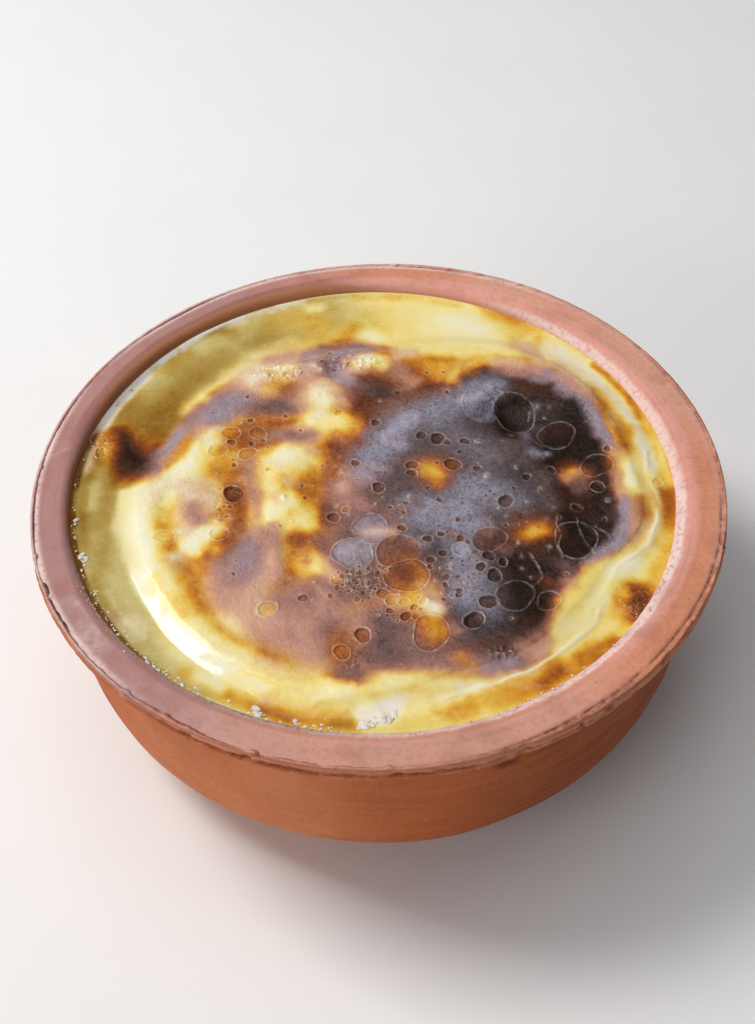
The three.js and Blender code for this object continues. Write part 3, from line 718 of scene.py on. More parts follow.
    ("butter", 1.8, 5.6, 0.7, [(-26.6, -31), (-23.5, -33.6)]),
    ("amber", 1.3, 5.0, 0.7, [(-20.4, -36), (-14.5, -38.4)]),
    ("pink", 2.8, 6.6, 0.9, [(-28, -25.5), (-23, -26.4)]),
    ("mauve", 4.6, 6.6, 1.0, [(-23.6, -15), (-24.6, -20)]),
    ("lavender", 2.2, 6.2, 0.7, [(-22.6, -16), (-23.4, -20.4)]),
    ("plum", 1.1, 3.8, 0.7, [(-26.4, -14), (-27, -17.6)]),
    ("pink", 1.1, 3.2, 0.8, [(-21.4, -11), (-21, -14)]),
    ("orange", 1.2, 4.0, 0.9, [(-33.5, -19.6), (-29.6, -17), (-26, -12.6)]),
    ("gold", 1.6, 3.6, 0.8, [(-33, -17.4), (-28.6, -14.4)]),
    ("rust", 1.0, 3.2, 0.8, [(-28.6, -15.4), (-25.6, -12.8)]),
    ("rust", 0.8, 3.2, 0.5, [(-33.5, -20), (-32, -19)]),
    ("amber", 1.7, 5.3, 1.0, [(-32.8, -21), (-32, -26), (-29, -30.4)]),
    ("orange", 0.9, 3.2, 0.9, [(-31.6, -22), (-30.8, -26.6), (-29.4, -29)]),
    ("amber", 0.9, 3.5, 1.0, [(-28.6, -31.4), (-22.4, -36.6), (-15, -39.8)]),
    ("orange", 0.5, 2.4, 0.8, [(-27, -33), (-22, -36.8), (-17, -39.2)]),
    ("gold", 1.4, 5.6, 0.6, [(-14, -41), (-9, -42)]),
    ("orange", 2.0, 4.4, 1.0, [(-14, -14), (-14.4, -17.6), (-15.6, -22), (-17.2, -26)]),
    ("amber", 0.9, 3.0, 0.7, [(-14, -15.4), (-14.2, -20)]),
    ("rust", 1.2, 3.6, 0.9, [(-15.6, -13.8), (-12, -14), (-10.4, -16)]),
    ("rust", 0.9, 3.5, 0.7, [(-16.6, -22), (-16.2, -26)]),
    ("lemon", 2.4, 4.4, 1.0, [(-11, -19), (-9.6, -21)]),
    ("butter", 1.2, 3.4, 0.8, [(-11, -19.4), (-9.8, -20.6)]),
    ("ivory", 1.3, 3.2, 0.9, [(-10, -19.8), (-8.4, -21.6)]),
    ("pink", 1.2, 2.6, 1.0, [(-18.6, -10.6), (-18.2, -17), (-18, -22.4)]),
    ("peach", 0.5, 2.0, 0.5, [(-18.4, -16.6), (-18.2, -21.5)]),
    ("mauve", 1.1, 3.2, 0.8, [(-19.8, -12), (-19.6, -16)]),
    # the great scorched patch: brown, pink and plum first, then slate
    ("mauve", 6.4, 6.6, 1.0, [(-15, -30.5), (-8, -34), (1, -35.5), (10, -37), (19, -37.5)]),
    ("pink", 3.6, 8.2, 0.7, [(-16, -32), (-10, -36.4)]),
    ("plum", 4.6, 7.2, 1.0, [(-8, -26), (-4, -36), (2, -37.6)]),
    ("plum", 7.6, 6.2, 1.0, [(-0.6, 3), (-0.6, -10), (-3, -21)]),
    ("mauve", 2.2, 6.2, 1.0, [(-6, 3), (-6.4, -4)]),
    ("pink", 1.0, 3.6, 0.35, [(-6, 1.6), (-5, -7.8)]),
    ("rust", 3.0, 5.0, 1.0, [(4.6, 30), (7, 29.4), (10, 27)]),
    ("mahogany", 2.6, 4.6, 0.95, [(-3, 21), (4, 21.6), (10, 23.6), (17, 24.4)]),
    ("plum", 1.8, 4.0, 0.7, [(3, 19.6), (10, 22)]),
    ("mauve", 1.6, 5.6, 0.8, [(3, 31), (5, 27.4)]),
    ("pink", 0.7, 3.5, 0.6, [(4.4, 31.6), (6.4, 27.4)]),
    ("soot", 1.2, 4.6, 0.6, [(0.4, 24), (3, 23)]),
    ("slate", 8, 6.0, 1.0, [(8, 11), (20, 15), (30, 15)]),
    ("soot", 5.0, 6.0, 1.0, [(23, 14), (30, 14), (33, 5)]),
    ("slate", 13, 10.4, 1.0, [(13, 0), (27, 0)]),
    ("slate", 10, 8.8, 1.0, [(13, -12), (20, -24), (20, -30)]),
    ("plum", 2.8, 7.2, 0.8, [(6, -37), (13, -38.6)]),
    ("slate", 2.0, 6.2, 0.8, [(0.4, -33), (1, -35.5)]),
    ("soot", 4.0, 7.2, 1.0, [(19, 27), (26, 26.4), (32, 25)]),
    ("mahogany", 1.1, 3.2, 0.9, [(18, 27.4), (21, 29.4), (25, 30)]),
    ("orange", 0.6, 2.4, 0.8, [(17.6, 29), (20.6, 30.6), (24, 31.2)]),
    ("gold", 1.2, 3.4, 0.9, [(17.4, 30.4), (20.6, 31.6), (24, 32)]),
    ("soot", 5.0, 6.0, 1.0, [(25, -22), (22, -33)]),
    ("mahogany", 2.6, 6.6, 0.7, [(26.4, -32), (22, -37.4), (16.4, -38)]),
    ("char", 6.6, 4.6, 1.0, [(35.6, 18), (36, 8), (36, -6), (36, -13), (33, -18)]),
    ("char", 4.8, 7.2, 0.9, [(26, -18), (26.6, -25), (25, -29)]),
    ("char", 2.6, 6.2, 0.7, [(33.4, 22), (29, 23.6)]),
    ("mahogany", 1.5, 5.6, 0.8, [(29, 24), (33.5, 22.6), (37, 19)]),
    ("soot", 3.0, 7.2, 0.8, [(27, -2), (29, -7)]),
    ("soot", 1.8, 5.6, 0.7, [(13, -31), (14.5, -35)]),
    ("plum", 1.6, 5.6, 0.5, [(7, -1), (9, 6)]),
    # painted sheen over the scorched skin, partly a real milky haze
    ("sheen_mist", 2.6, 7.2, 1.0, [(-1.6, 6), (2, 11.5), (6, 15.4), (12, 18), (18, 20.6), (22, 24)]),
    ("sheen_mist", 1.2, 3.2, 0.9, [(2.6, 9.4), (4.6, 8.4)]),
    ("sheen_mist", 1.2, 3.8, 1.0, [(4.6, 15), (7.4, 15.8)]),
    ("lavender", 0.9, 3.8, 0.8, [(2, 8.6), (3.6, 12.4)]),
    ("sheen_mist", 1.2, 3.4, 0.9, [(20, 23.6), (23.6, 24.8)]),
    ("char", 3.2, 3.0, 1.0, [(25, 20), (27, 17), (26, 13)]),
    ("slate", 1.6, 3.0, 0.8, [(18.6, 18.4), (20.6, 18)]),
    ("sheen_mist", 3.0, 8.8, 1.0, [(7.6, -8.4), (12, -9), (16.6, -4.6)]),
    ("sheen_mist", 1.2, 4.0, 0.9, [(8.6, -8), (11.4, -8.4)]),
    ("sheen_mist", 2.2, 6.0, 0.9, [(13.6, -13), (14, -20), (14, -28)]),
    ("sheen_mist", 2.6, 7.0, 0.7, [(17, -2), (24, -6)]),
    ("white", 1.4, 3.4, 0.5, [(-2, -12.6), (2, -12.4)]),
    ("lavender", 2.0, 4.0, 0.8, [(-6, -17), (-3, -16.6)]),
    ("sheen_mist", 2.2, 7.2, 0.6, [(17, -24), (18, -30)]),
    ("sheen_mist", 2.6, 7.2, 0.4, [(13, 13), (20, 5)]),
    ("char", 3.4, 3.7, 0.95, [(33.9, 6), (34, 0), (34, 13)]),
    ("mauve", 0.9, 3.8, 0.8, [(-2.6, -1), (-4, -4)]),
    ("lavender", 1.2, 3.0, 1.0, [(-3, 1.6), (-1.6, 0.4)]),
    # its lavender, pink and orange borders
    ("orange", 1.7, 5.0, 1.0, [(41.8, 21.6), (43.6, 15)]),
    ("rust", 1.2, 3.5, 0.9, [(46, 12), (45.8, 6.4)]),
    ("orange", 1.3, 3.8, 0.7, [(45.2, 11.6), (44.6, 8.6), (46.2, 6)]),
    ("pink", 1.5, 3.6, 1.0, [(25, 30.4), (31, 28.6), (37, 25), (41.4, 19.6)]),
    ("amber", 0.9, 2.9, 0.9, [(25, 31.4), (30.6, 31)]),
    ("peach", 1.0, 3.2, 0.8, [(36, 29.6), (39.6, 26), (41, 22.6)]),
    ("lavender", 0.9, 2.4, 1.0, [(33.8, 27.4), (36.6, 25), (39.4, 20), (41.2, 14), (43.2, 6.8)]),
    ("sheen_mist", 0.5, 2.0, 0.8, [(40, 18), (41.4, 13), (42.8, 9)]),
    ("pink", 0.9, 3.2, 0.9, [(44.4, 5), (43.4, 0), (43.6, -5)]),
    ("mahogany", 0.9, 3.2, 0.8, [(42.4, 3), (42, -4)]),
    ("peach", 1.9, 5.0, 1.0, [(46.2, -6.6), (46.6, -12)]),
    ("orange", 1.0, 3.5, 0.8, [(46.4, -7), (46.8, -11.6)]),
    ("lavender", 0.9, 2.6, 1.0, [(43.8, -7), (43.6, -12), (42.2, -16), (39, -19.2), (35.6, -21.4)]),
    ("pink", 0.7, 2.8, 0.9, [(45.2, -10), (44.8, -15), (41.6, -19.6), (37, -22.4)]),
    ("sheen_mist", 0.8, 2.4, 0.9, [(42.2, -15), (39.6, -18.2), (37.4, -19.8)]),
    ("lavender", 1.4, 5.0, 0.8, [(16, -42.4), (21.5, -41)]),
    ("pink", 0.6, 2.6, 1.0, [(34.4, -22.6), (31.8, -26.5), (30.2, -31), (28, -36), (24.2, -40.8)]),
    ("mauve", 0.7, 3.0, 0.8, [(31, -24.8), (29.2, -30), (27, -34.4)]),
    ("orange", 0.5, 2.4, 0.6, [(27.6, -37), (24.6, -41)]),
    # lemon lobes inside the fold at the right
    ("lemon", 2.6, 5.0, 1.0, [(46.6, 1.6), (46.4, -3)]),
    ("butter", 1.6, 4.6, 1.0, [(46.8, 0.4), (46.4, -2.6)]),
    ("lemon", 3.2, 5.0, 1.0, [(43, -21), (37, -26), (33, -31), (30, -38)]),
    ("butter", 2.4, 5.6, 1.0, [(38.4, -24.4), (35, -29), (32.4, -35)]),
    ("ivory", 0.9, 3.2, 0.8, [(43.6, -20.6), (40, -24)]),
    ("butter", 2.0, 5.3, 1.0, [(36, -35.6), (38.4, -32.6)]),
    ("orange", 3.4, 3.6, 1.0, [(42.2, -28.8), (43.2, -32.4)]),
    ("rust", 2.4, 3.2, 1.0, [(42.7, -28.8), (43.5, -32)]),
    ("mahogany", 1.2, 3.6, 0.6, [(42.9, -29.6), (43.6, -32.4)]),
    # warm windows where the milk shows through
    ("orange", 2.8, 5.6, 0.9, [(10, 3), (10.6, 0.4)]),
    ("gold", 1.6, 5.3, 1.0, [(9.6, 2.4), (10.6, 1)]),
    ("amber", 0.7, 2.6, 0.8, [(10.6, -1), (11.4, -2.6)]),
    ("rust", 1.3, 4.0, 0.9, [(13.4, 3), (13.8, 3.4)]),
    ("rust", 3.0, 3.6, 0.9, [(35.2, -0.2), (36.4, -0.4)]),
    ("orange", 1.5, 3.0, 1.0, [(35.4, 0), (36.2, -0.4)]),
    ("lemon", 0.7, 2.4, 0.9, [(35.6, 0.2), (36.4, -0.2)]),
    ("rust", 3.0, 5.0, 0.9, [(25.6, -14.4), (28.4, -13)]),
    ("amber", 1.8, 3.6, 0.9, [(26, -14.4), (28, -13.2)]),
    ("lemon", 0.8, 3.0, 0.8, [(26.2, -14), (27.8, -13.2)]),
    ("orange", 2.5, 3.7, 1.0, [(8, -32.6), (8.6, -34.8)]),
    ("amber", 1.1, 3.2, 0.9, [(8.4, -31.8), (8.6, -34)]),
    ("rust", 2.6, 5.3, 1.0, [(2.8, -22), (4.8, -24.4)]),
    ("orange", 1.2, 3.5, 0.9, [(2.6, -21.8), (3.4, -24)]),
    ("gold", 1.0, 3.2, 0.9, [(4.8, -27.4), (6.6, -29)]),
    ("white", 1.2, 3.2, 1.0, [(8, -28.6), (8.8, -30)]),
    ("rust", 2.2, 5.3, 0.9, [(-5.6, -35.4), (-6.4, -38.4)]),
    ("orange", 0.9, 3.2, 0.7, [(-7.6, -36.4), (-7, -39)]),
    ("rust", 1.1, 3.2, 0.8, [(3.4, -31.6), (4.4, -31.8)]),
    ("amber", 1.2, 4.0, 0.9, [(12.6, -40.4), (14, -42)]),
    ("orange", 1.4, 3.0, 0.9, [(7, 32.6), (10.6, 32.8), (15, 32)]),
    ("peach", 1.4, 3.2, 0.8, [(4.4, 34.6), (7.6, 34.8)]),
    ("amber", 1.6, 3.6, 1.0, [(12, 30), (12.6, 27.6)]),
    ("gold", 1.2, 3.4, 1.0, [(16.2, 30.4), (15.4, 26.6)]),
    ("lemon", 0.7, 2.6, 0.8, [(15.6, 28.6), (15, 26)]),
    ("mauve", 0.8, 2.9, 0.7, [(6, 30), (8, 27)]),
    ("orange", 0.5, 2.6, 0.9, [(-8.6, -42.6), (-4, -44), (-1, -43.6)]),
    ("amber", 0.3, 2.2, 0.6, [(4.6, -42.6), (9, -44), (15, -44.6)]),
    # smaller touches, all over the skin
    ("sheen_frost", 1.4, 3.6, 1.0, [(4.4, 14.4), (6.6, 16)]),
    ("sheen_frost", 0.9, 2.6, 0.9, [(1.6, 10), (3, 12.6)]),
    ("sheen_frost", 0.7, 2.0, 0.8, [(3.4, 8.4), (4.4, 8.6)]),
    ("sheen_frost", 1.2, 4.0, 0.8, [(9, -7.6), (13, -8.6)]),
    ("sheen_frost", 1.2, 2.6, 0.5, [(17.6, 20.2), (19.4, 20.4)]),
    ("sheen_frost", 0.35, 0.8, 1.0, [(21.4, 15.4), (22.3, 18), (23.6, 20.6), (24.6, 22.2)]),
    ("sheen_frost", 0.9, 2.0, 0.4, [(31.2, 18.2), (31, 15.6)]),
    ("sheen_frost", 0.9, 3.0, 0.7, [(13.8, -16.6), (14.2, -18.4)]),
    ("char", 1.2, 3.0, 0.9, [(38.4, 13), (38.8, 17.6)]),
    ("char", 1.0, 3.0, 0.9, [(38, -12), (37.4, -15.6)]),
    ("mahogany", 1.4, 4.0, 0.6, [(27, -18.4), (29.4, -18)]),
    ("mahogany", 1.4, 4.0, 0.5, [(36, -4.4), (35.6, -8)]),
    ("orange", 1.5, 3.6, 1.0, [(-33.2, -18.4), (-30.8, -20.4)]),
    ("rust", 1.2, 3.6, 0.9, [(-29.4, -17), (-26.8, -14.6)]),
    ("lemon", 1.3, 3.6, 0.9, [(-37.6, -21.6), (-35.4, -26), (-32.6, -30.6)]),
    ("amber", 1.0, 3.0, 0.8, [(-37.6, -11.6), (-36, -15)]),
    ("gold", 1.4, 3.6, 0.9, [(50, 16), (47.4, 22.4), (44, 28)]),
    ("amber", 0.9, 3.0, 0.9, [(51.4, 9), (50, 17.6), (47.6, 22.6)]),
    ("rust", 1.2, 3.4, 0.9, [(-19.4, 15.6), (-15.6, 16)]),
    ("rust", 1.0, 3.4, 0.8, [(-23.4, 15), (-21, 13.6)]),
    ("cream", 1.2, 3.0, 0.9, [(-31.4, 13.6), (-30.8, 10.6)]),
    ("rust", 1.2, 3.4, 1.0, [(-25, -5.6), (-24.2, -10)]),
    ("bronze", 1.5, 4.0, 0.9, [(-39.8, 21), (-38.8, 17.4)]),
    ("rust", 0.9, 3.4, 0.9, [(-43.2, 12.4), (-42.2, 7.8)]),
    ("gold", 1.2, 3.4, 0.9, [(-13.6, -18.8), (-12.6, -21)]),
    ("rust", 1.1, 3.4, 0.9, [(-14, -14), (-12.6, -17)]),
    ("rust", 0.8, 3.4, 0.7, [(-22.8, 9.6), (-19.6, 9.2)]),
    ("butter", 1.3, 3.4, 0.9, [(-14, 6.6), (-12.2, 5.2)]),
    ("rust", 1.1, 3.6, 0.9, [(-7.6, 6), (-8.6, 1.6)]),
    ("peach", 1.5, 3.6, 1.0, [(-10, -20.4), (-8.4, -22)]),
    ("pink", 1.2, 3.6, 0.8, [(-10.6, -25), (-9, -26.6)]),
    ("mahogany", 1.2, 3.6, 0.9, [(2.8, -21), (3.6, -22.6)]),
    ("white", 0.9, 3.0, 0.7, [(-12.4, 31.6), (-11.4, 30.4)]),
    ("ivory", 1.1, 3.4, 0.8, [(-30.4, -3.4), (-29.6, -5)]),
    ("mauve", 0.8, 2.8, 0.8, [(-21.8, -3), (-21.6, -8)]),
    ("cream", 0.9, 3.0, 0.9, [(50.6, 4), (50.2, -0.6)]),
    ("cream", 1.0, 3.4, 0.9, [(37, -30), (35.4, -33.4)]),
    ("butter", 1.2, 3.4, 0.9, [(41, -23.4), (43.4, -24.6)]),
    ("plum", 1.4, 4.0, 0.8, [(3, -35), (5, -37)]),
    ("amber", 0.9, 3.2, 0.8, [(-36.6, 7.4), (-35, 12)]),
    # painted shade on the sheet's low left edge
    ("thin_whey", 0.8, 3.0, 0.5, [(-46.8, -1), (-46.8, -11), (-44.4, -17)]),
    ("soot", 2.2, 3.6, 0.9, [(33.4, 16.4), (34, 12.6)]),
    ("soot", 1.6, 3.4, 0.9, [(38, -12), (38.6, -15.4)]),
    ("butter", 1.0, 3.2, 0.9, [(49.8, 16.6), (50.6, 13.6)]),
    ("gold", 1.0, 3.2, 0.8, [(48, 21.6), (46.6, 22.4)]),
    ("amber", 1.0, 3.4, 0.9, [(-41.2, 11), (-40.4, 7)]),
    ("rust", 0.8, 2.6, 0.8, [(-41.8, 10.4), (-41, 8)]),
    ("amber", 1.2, 3.4, 1.0, [(-33, -18.4), (-31.4, -20)]),
    ("orange", 1.0, 3.4, 0.9, [(-10.6, -12.8), (-9.6, -15.4)]),
    ("gold", 0.9, 3.4, 0.9, [(-13.4, -19), (-12.8, -21)]),
    ("butter", 1.0, 3.0, 0.9, [(1, 33), (1.6, 31)]),
    ("peach", 1.3, 3.6, 0.9, [(-14.6, 30.4), (-13.2, 29.4)]),
    ("plum", 1.2, 3.8, 0.8, [(3.4, -35), (4.6, -37)]),
    ("lavender", 1.2, 3.4, 0.8, [(-1, 3.4), (1, 2.6)]),
    ("amber", 1.0, 3.4, 0.8, [(39.6, -31), (38.4, -33)]),
    ("gold", 1.1, 3.4, 0.9, [(-35, -26.6), (-33, -29.4)]),
    ("sheen_mist", 1.3, 3.6, 0.8, [(28.4, 11), (29.6, 11.4)]),
    ("plum", 1.3, 3.8, 0.9, [(36, -2), (36.2, -4)]),
    ("plum", 1.2, 3.6, 0.9, [(31.4, -21.4), (32.4, -22.6)]),
    ("rust", 0.9, 3.0, 0.9, [(-3.2, 10.6), (-2.8, 9.4)]),
    # painted shade on the sheet's low left edge
    ("thin_whey", 1.8, 5.0, 0.45, [(-45.4, 0), (-46.2, -11), (-43.8, -18)]),
    ("white", 1.0, 3.4, 0.5, [(-42.6, -31), (-40.8, -33)]),
    ("orange", 1.0, 2.6, 0.9, [(43.4, 18), (44.8, 13)]),
    ("cream", 1.0, 2.6, 0.9, [(46.4, 24), (48.2, 17), (49, 10)]),
    ("char", 1.6, 2.6, 1.0, [(36.6, 20.4), (38.8, 15), (40, 9)]),
    ("gold", 1.7, 3.2, 1.0, [(-12, -18.8), (-11, -20.8)]),
    ("butter", 0.9, 2.6, 0.9, [(-11.8, -18.8), (-11.2, -20.4)]),
    ("peach", 2.0, 4.4, 0.7, [(-21.6, -25.4), (-19.4, -31.4)]),
    ("plum", 1.4, 3.0, 0.9, [(-6.6, -42.2), (-2.6, -42.8)]),
    ("orange", 1.0, 2.8, 0.9, [(-37.8, -6), (-38.2, -11), (-36, -15)]),
    ("mauve", 1.0, 2.8, 0.8, [(-33.6, -5.6), (-32, -8.6)]),
    ("cream", 1.4, 2.8, 0.9, [(-30.8, -12.6), (-32.4, -15)]),
    ("amber", 1.0, 2.8, 0.9, [(-35.4, -18.4), (-33.6, -22)]),
    ("butter", 1.1, 2.8, 0.9, [(-36, -21.6), (-34.4, -25.4)]),
    ("peach", 1.3, 3.2, 0.8, [(29, 36.6), (32.6, 33.4)]),
    ("peach", 1.0, 3.0, 0.8, [(24, 31.4), (28.6, 30.6)]),
    ("white", 0.7, 2.0, 0.7, [(-52.4, 15.4), (-50.4, 20.6), (-48, 25), (-45, 30)]),
    ("soot", 1.6, 3.0, 0.9, [(29.6, 11.6), (30.6, 9.6)]),
    ("lavender", 0.9, 2.8, 0.9, [(36.4, 23.6), (37.8, 21.4)]),
    ("amber", 0.9, 2.6, 0.9, [(48.4, 11.4), (47.4, 8.6)]),
    ("sheen_frost", 1.2, 3.4, 0.8, [(17.4, -11.6), (18.8, -12.6)]),
    ("peach", 1.3, 3.4, 0.9, [(-7.2, 20.8), (-6.4, 19.4)]),
    ("butter", 1.2, 3.0, 0.9, [(9, -48.6), (11.4, -48.8)]),
    ("cream", 1.2, 3.0, 0.9, [(-3.4, -49.4), (0, -50)]),
    ("mauve", 1.2, 3.4, 0.7, [(22.8, -38), (25, -40)]),
    ("slate", 1.1, 3.0, 0.8, [(30, 0.8), (30.4, -1)]),
    ("sheen_mist", 1.2, 3.4, 0.8, [(1, 6.4), (2.6, 6)]),
    ("mauve", 1.3, 3.6, 0.8, [(1.4, -9.4), (3, -10.6)]),
    ("orange", 0.9, 2.8, 0.9, [(1.6, 35), (3, 34.4)]),
    ("peach", 1.2, 3.2, 0.8, [(-35.2, -17), (-34.4, -19)]),
    ("thin_whey", 1.3, 3.4, 0.55, [(-50.6, -11.6), (-49.8, -16.6), (-47.2, -23.4), (-44, -29.4),
                                   (-40, -34)]),
    ("white", 0.4, 2.0, 0.25, [(-46.6, -24.4), (-43.4, -30), (-40, -34.2)]),
    ("thin_whey", 1.2, 3.0, 0.8, [(-52, 0), (-51.8, -4.6)]),
    ("deep_whey", 3.0, 6.0, 0.6, [(-43.6, 19), (-41, 24.6), (-37, 29.4), (-31, 34.6)]),
    ("bronze", 2.0, 4.6, 0.8, [(-44.4, 16.6), (-42.4, 18.4), (-41.4, 13)]),
    ("bronze", 1.2, 4.6, 0.6, [(-40, 24.6), (-38, 26)]),
    ("thin_whey", 1.6, 5.0, 0.5, [(-44.4, 25.4), (-42, 28.4)]),
    ("thin_whey", 1.4, 5.0, 0.4, [(-35, 37.6), (-31, 40)]),
    ("cream", 1.2, 3.4, 0.9, [(-29.4, -43), (-26.6, -44.6)]),
    ("lemon", 1.0, 2.8, 0.8, [(-22.8, -46.4), (-20.6, -47.4)]),
    ("cream", 1.2, 3.4, 0.8, [(-22.4, -44.4), (-19.6, -45)]),
    ("butter", 1.6, 4.0, 0.8, [(-30.6, -31.6), (-27, -35.4), (-22.6, -38)]),
    ("cream", 1.4, 3.2, 1.0, [(-3, -49.6), (1.4, -49.6)]),
    ("cream", 1.2, 3.0, 0.9, [(-2.4, -51.8), (0.6, -51.8)]),
    ("lemon", 1.0, 3.0, 0.9, [(-2.6, -46), (1.6, -46.2), (5.6, -46.6)]),
    ("butter", 1.0, 3.0, 0.8, [(-1.6, -43.6), (5.6, -43.8)]),
    ("butter", 1.0, 3.0, 0.9, [(5, -49), (9, -48.8)]),
    ("amber", 0.9, 2.8, 0.9, [(11.6, -50.2), (14.4, -49.6)]),
    ("cream", 0.9, 2.6, 0.9, [(11.6, -46.8), (15, -46)]),
    ("gold", 1.1, 3.0, 0.9, [(15.6, -49.2), (19, -48)]),
    ("amber", 1.2, 3.0, 0.9, [(19.4, -47.4), (22, -46.6)]),
    ("pink", 1.4, 3.4, 0.8, [(23, -38.6), (25, -39.6)]),
    ("orange", 0.9, 2.6, 1.0, [(32.4, -41.3), (35, -40.2), (38, -38)]),
    ("lemon", 1.6, 3.6, 1.0, [(31, -31.6), (33.4, -27.6), (36, -24)]),
    ("butter", 1.2, 3.0, 0.9, [(28.6, -36.2), (31, -33.4)]),
    ("butter", 1.2, 3.2, 1.0, [(34.6, -33.6), (36.8, -29.4), (38.4, -26)]),
    ("cream", 1.5, 3.4, 1.0, [(40, -23.4), (43.4, -21.6)]),
    ("lavender", 0.6, 2.2, 0.9, [(38.4, -18.6), (41.2, -17), (43.4, -13.4), (43.9, -8.6)]),
    ("gold", 0.9, 2.6, 0.9, [(47.6, -17), (49, -14)]),
    ("amber", 0.9, 2.6, 0.9, [(46.8, -10.4), (47, -7.4)]),
    ("pink", 0.9, 2.8, 0.9, [(43, -3.4), (43, -0.6)]),
    ("cream", 0.9, 2.6, 0.9, [(45.6, -3), (45.8, 1)]),
    ("lemon", 1.0, 2.6, 0.9, [(47.6, -4), (47.8, 2)]),
    ("gold", 0.9, 2.6, 0.9, [(51.6, -3.2), (51.6, 1)]),
    ("cream", 0.9, 2.8, 0.9, [(50.2, 3), (49.6, 8)]),
    ("sheen_mist", 2.4, 5.0, 0.7, [(5.6, -7.4), (11, -8.4), (17, -11.6)]),
    ("lavender", 0.9, 3.0, 0.9, [(40.4, 19), (41.4, 14), (41.6, 10)]),
    ("pink", 1.0, 3.0, 0.9, [(38.6, 22.6), (36.4, 26)]),
    ("cream", 1.2, 3.2, 0.9, [(44.6, 24.6), (41.6, 29)]),
    ("amber", 1.0, 2.8, 0.9, [(46.4, 13.4), (47, 10)]),
    ("rust", 1.2, 4.0, 0.5, [(24.4, -10.6), (24, -15)]),
    ("lemon", 1.1, 2.8, 0.9, [(35.2, -36), (37.2, -34)]),
    ("butter", 1.0, 2.6, 0.9, [(29.2, -39.6), (31.4, -38.2)]),
    ("lemon", 0.9, 2.6, 0.7, [(40, -26), (40.6, -28.4)]),
    ("thin_whey", 1.0, 2.6, 0.7, [(-51.6, -15.4), (-50.4, -19.8)]),
    ("orange", 0.8, 2.2, 0.7, [(-34, -18.6), (-32.6, -20.6)]),
    ("ivory", 0.8, 2.4, 0.7, [(-35.8, -17), (-35, -18.2)]),
    ("lavender", 1.0, 3.0, 0.8, [(5.2, -14.6), (6.8, -15.4)]),
    ("char", 1.0, 2.4, 1.0, [(31.2, 14), (32.4, 15.4)]),
    ("lavender", 1.0, 3.0, 0.5, [(-6.4, 28.2), (-5.2, 27)]),
    ("honey", 1.2, 3.0, 1.0, [(-28.6, 11.6), (-27.4, 10.4)]),
    ("slate", 0.9, 2.4, 0.8, [(22.4, 17.8), (23.2, 19.2)]),
    ("sheen_mist", 0.9, 2.2, 0.8, [(22.4, 22), (23.8, 22.4)]),
    ("soot", 0.9, 2.2, 0.5, [(18, 18), (19.6, 17.4)]),
    ("sheen_frost", 0.7, 2.0, 0.7, [(17.6, 20.6), (20.4, 20.8)]),
    ("gold", 0.9, 2.6, 0.9, arc(53, 70, 86, 4)),
    ("gold", 0.9, 2.6, 0.8, [(-29.8, -14.6), (-28.2, -15.6)]),
    ("butter", 1.0, 2.8, 0.6, [(-38, -5), (-38.2, -8.4)]),
    ("pink", 1.0, 2.8, 0.8, [(-33.4, 13), (-32.8, 15)]),
    ("honey", 1.0, 2.6, 1.0, [(-13.2, -17.2), (-12.8, -18.8)]),
    ("pink", 2.4, 4.4, 0.65, [(-10, -29.6), (-5.6, -30.6), (-3.6, -34)]),
    ("honey", 1.4, 3.6, 0.5, [(-5, -29.6), (-2, -29.4)]),
    ("mauve", 1.2, 3.0, 0.7, [(5.4, 24), (7.4, 25)]),
    ("pink", 0.9, 2.6, 0.6, [(7.4, 25.6), (9, 26.4)]),
    ("peach", 0.8, 2.4, 0.5, [(45, 12.6), (44.6, 15.4)]),
    ("mauve", 0.9, 2.4, 0.7, [(7.6, -27.6), (8.6, -28.2)]),
    ("peach", 0.9, 2.6, 0.5, [(33.6, -0.6), (34.4, -1.4)]),
    ("pink", 1.2, 3.0, 0.8, [(25.4, -36.2), (26.6, -37.6), (24.4, -39.2)]),
    ("soot", 0.8, 2.4, 0.8, [(41.8, -10), (42, -12)]),
    ("pink", 1.0, 2.8, 0.8, [(26.8, 27.9), (29.4, 27.3)]),
    ("mauve", 0.9, 2.6, 0.6, [(23.4, 28.2), (25, 28)]),
    ("lavender", 0.9, 2.6, 0.7, [(31.2, 25.8), (33, 25)]),
    ("lavender", 0.8, 2.4, 0.6, [(35.4, 22.6), (36.6, 21.2)]),
    ("amber", 1.0, 2.8, 0.35, [(13.4, 24), (14.6, 24)]),
    ("whey", 1.2, 3.4, 0.7, [(-44.4, 24), (-42, 28), (-39.8, 30.6)]),
    ("bronze", 1.0, 3.0, 0.5, [(-41.6, 20.8), (-40.8, 19)]),
    # painted shade on the sheet's edge above the burnt hollow
    ("bronze", 1.0, 2.8, 0.7, [(-46, 0.4), (-44.6, 1.6)]),
    ("sheen_mist", 0.9, 2.6, 0.7, [(-41.4, 6.2), (-40.6, 8)]),
    ("mahogany", 0.8, 2.4, 0.5, [(-41.6, 9), (-41, 10.4)]),
    ("gold", 1.0, 3.0, 0.4, [(-38, -4), (-38.2, -6)]),
    ("mauve", 1.2, 3.4, 0.5, [(-29, 25.6), (-26.6, 26.4)]),
    ("peach", 0.8, 2.4, 0.7, [(-10, 25.6), (-8.8, 26.2)]),
    ("mauve", 1.2, 3.4, 0.5, [(4.6, 5), (6.4, 5)]),
    ("sheen_mist", 0.8, 2.4, 0.7, [(28.8, 5.8), (29.8, 4.6)]),
    ("plum", 1.8, 4.0, 0.6, [(29.6, -1), (30.4, -5.6), (31, -7)]),
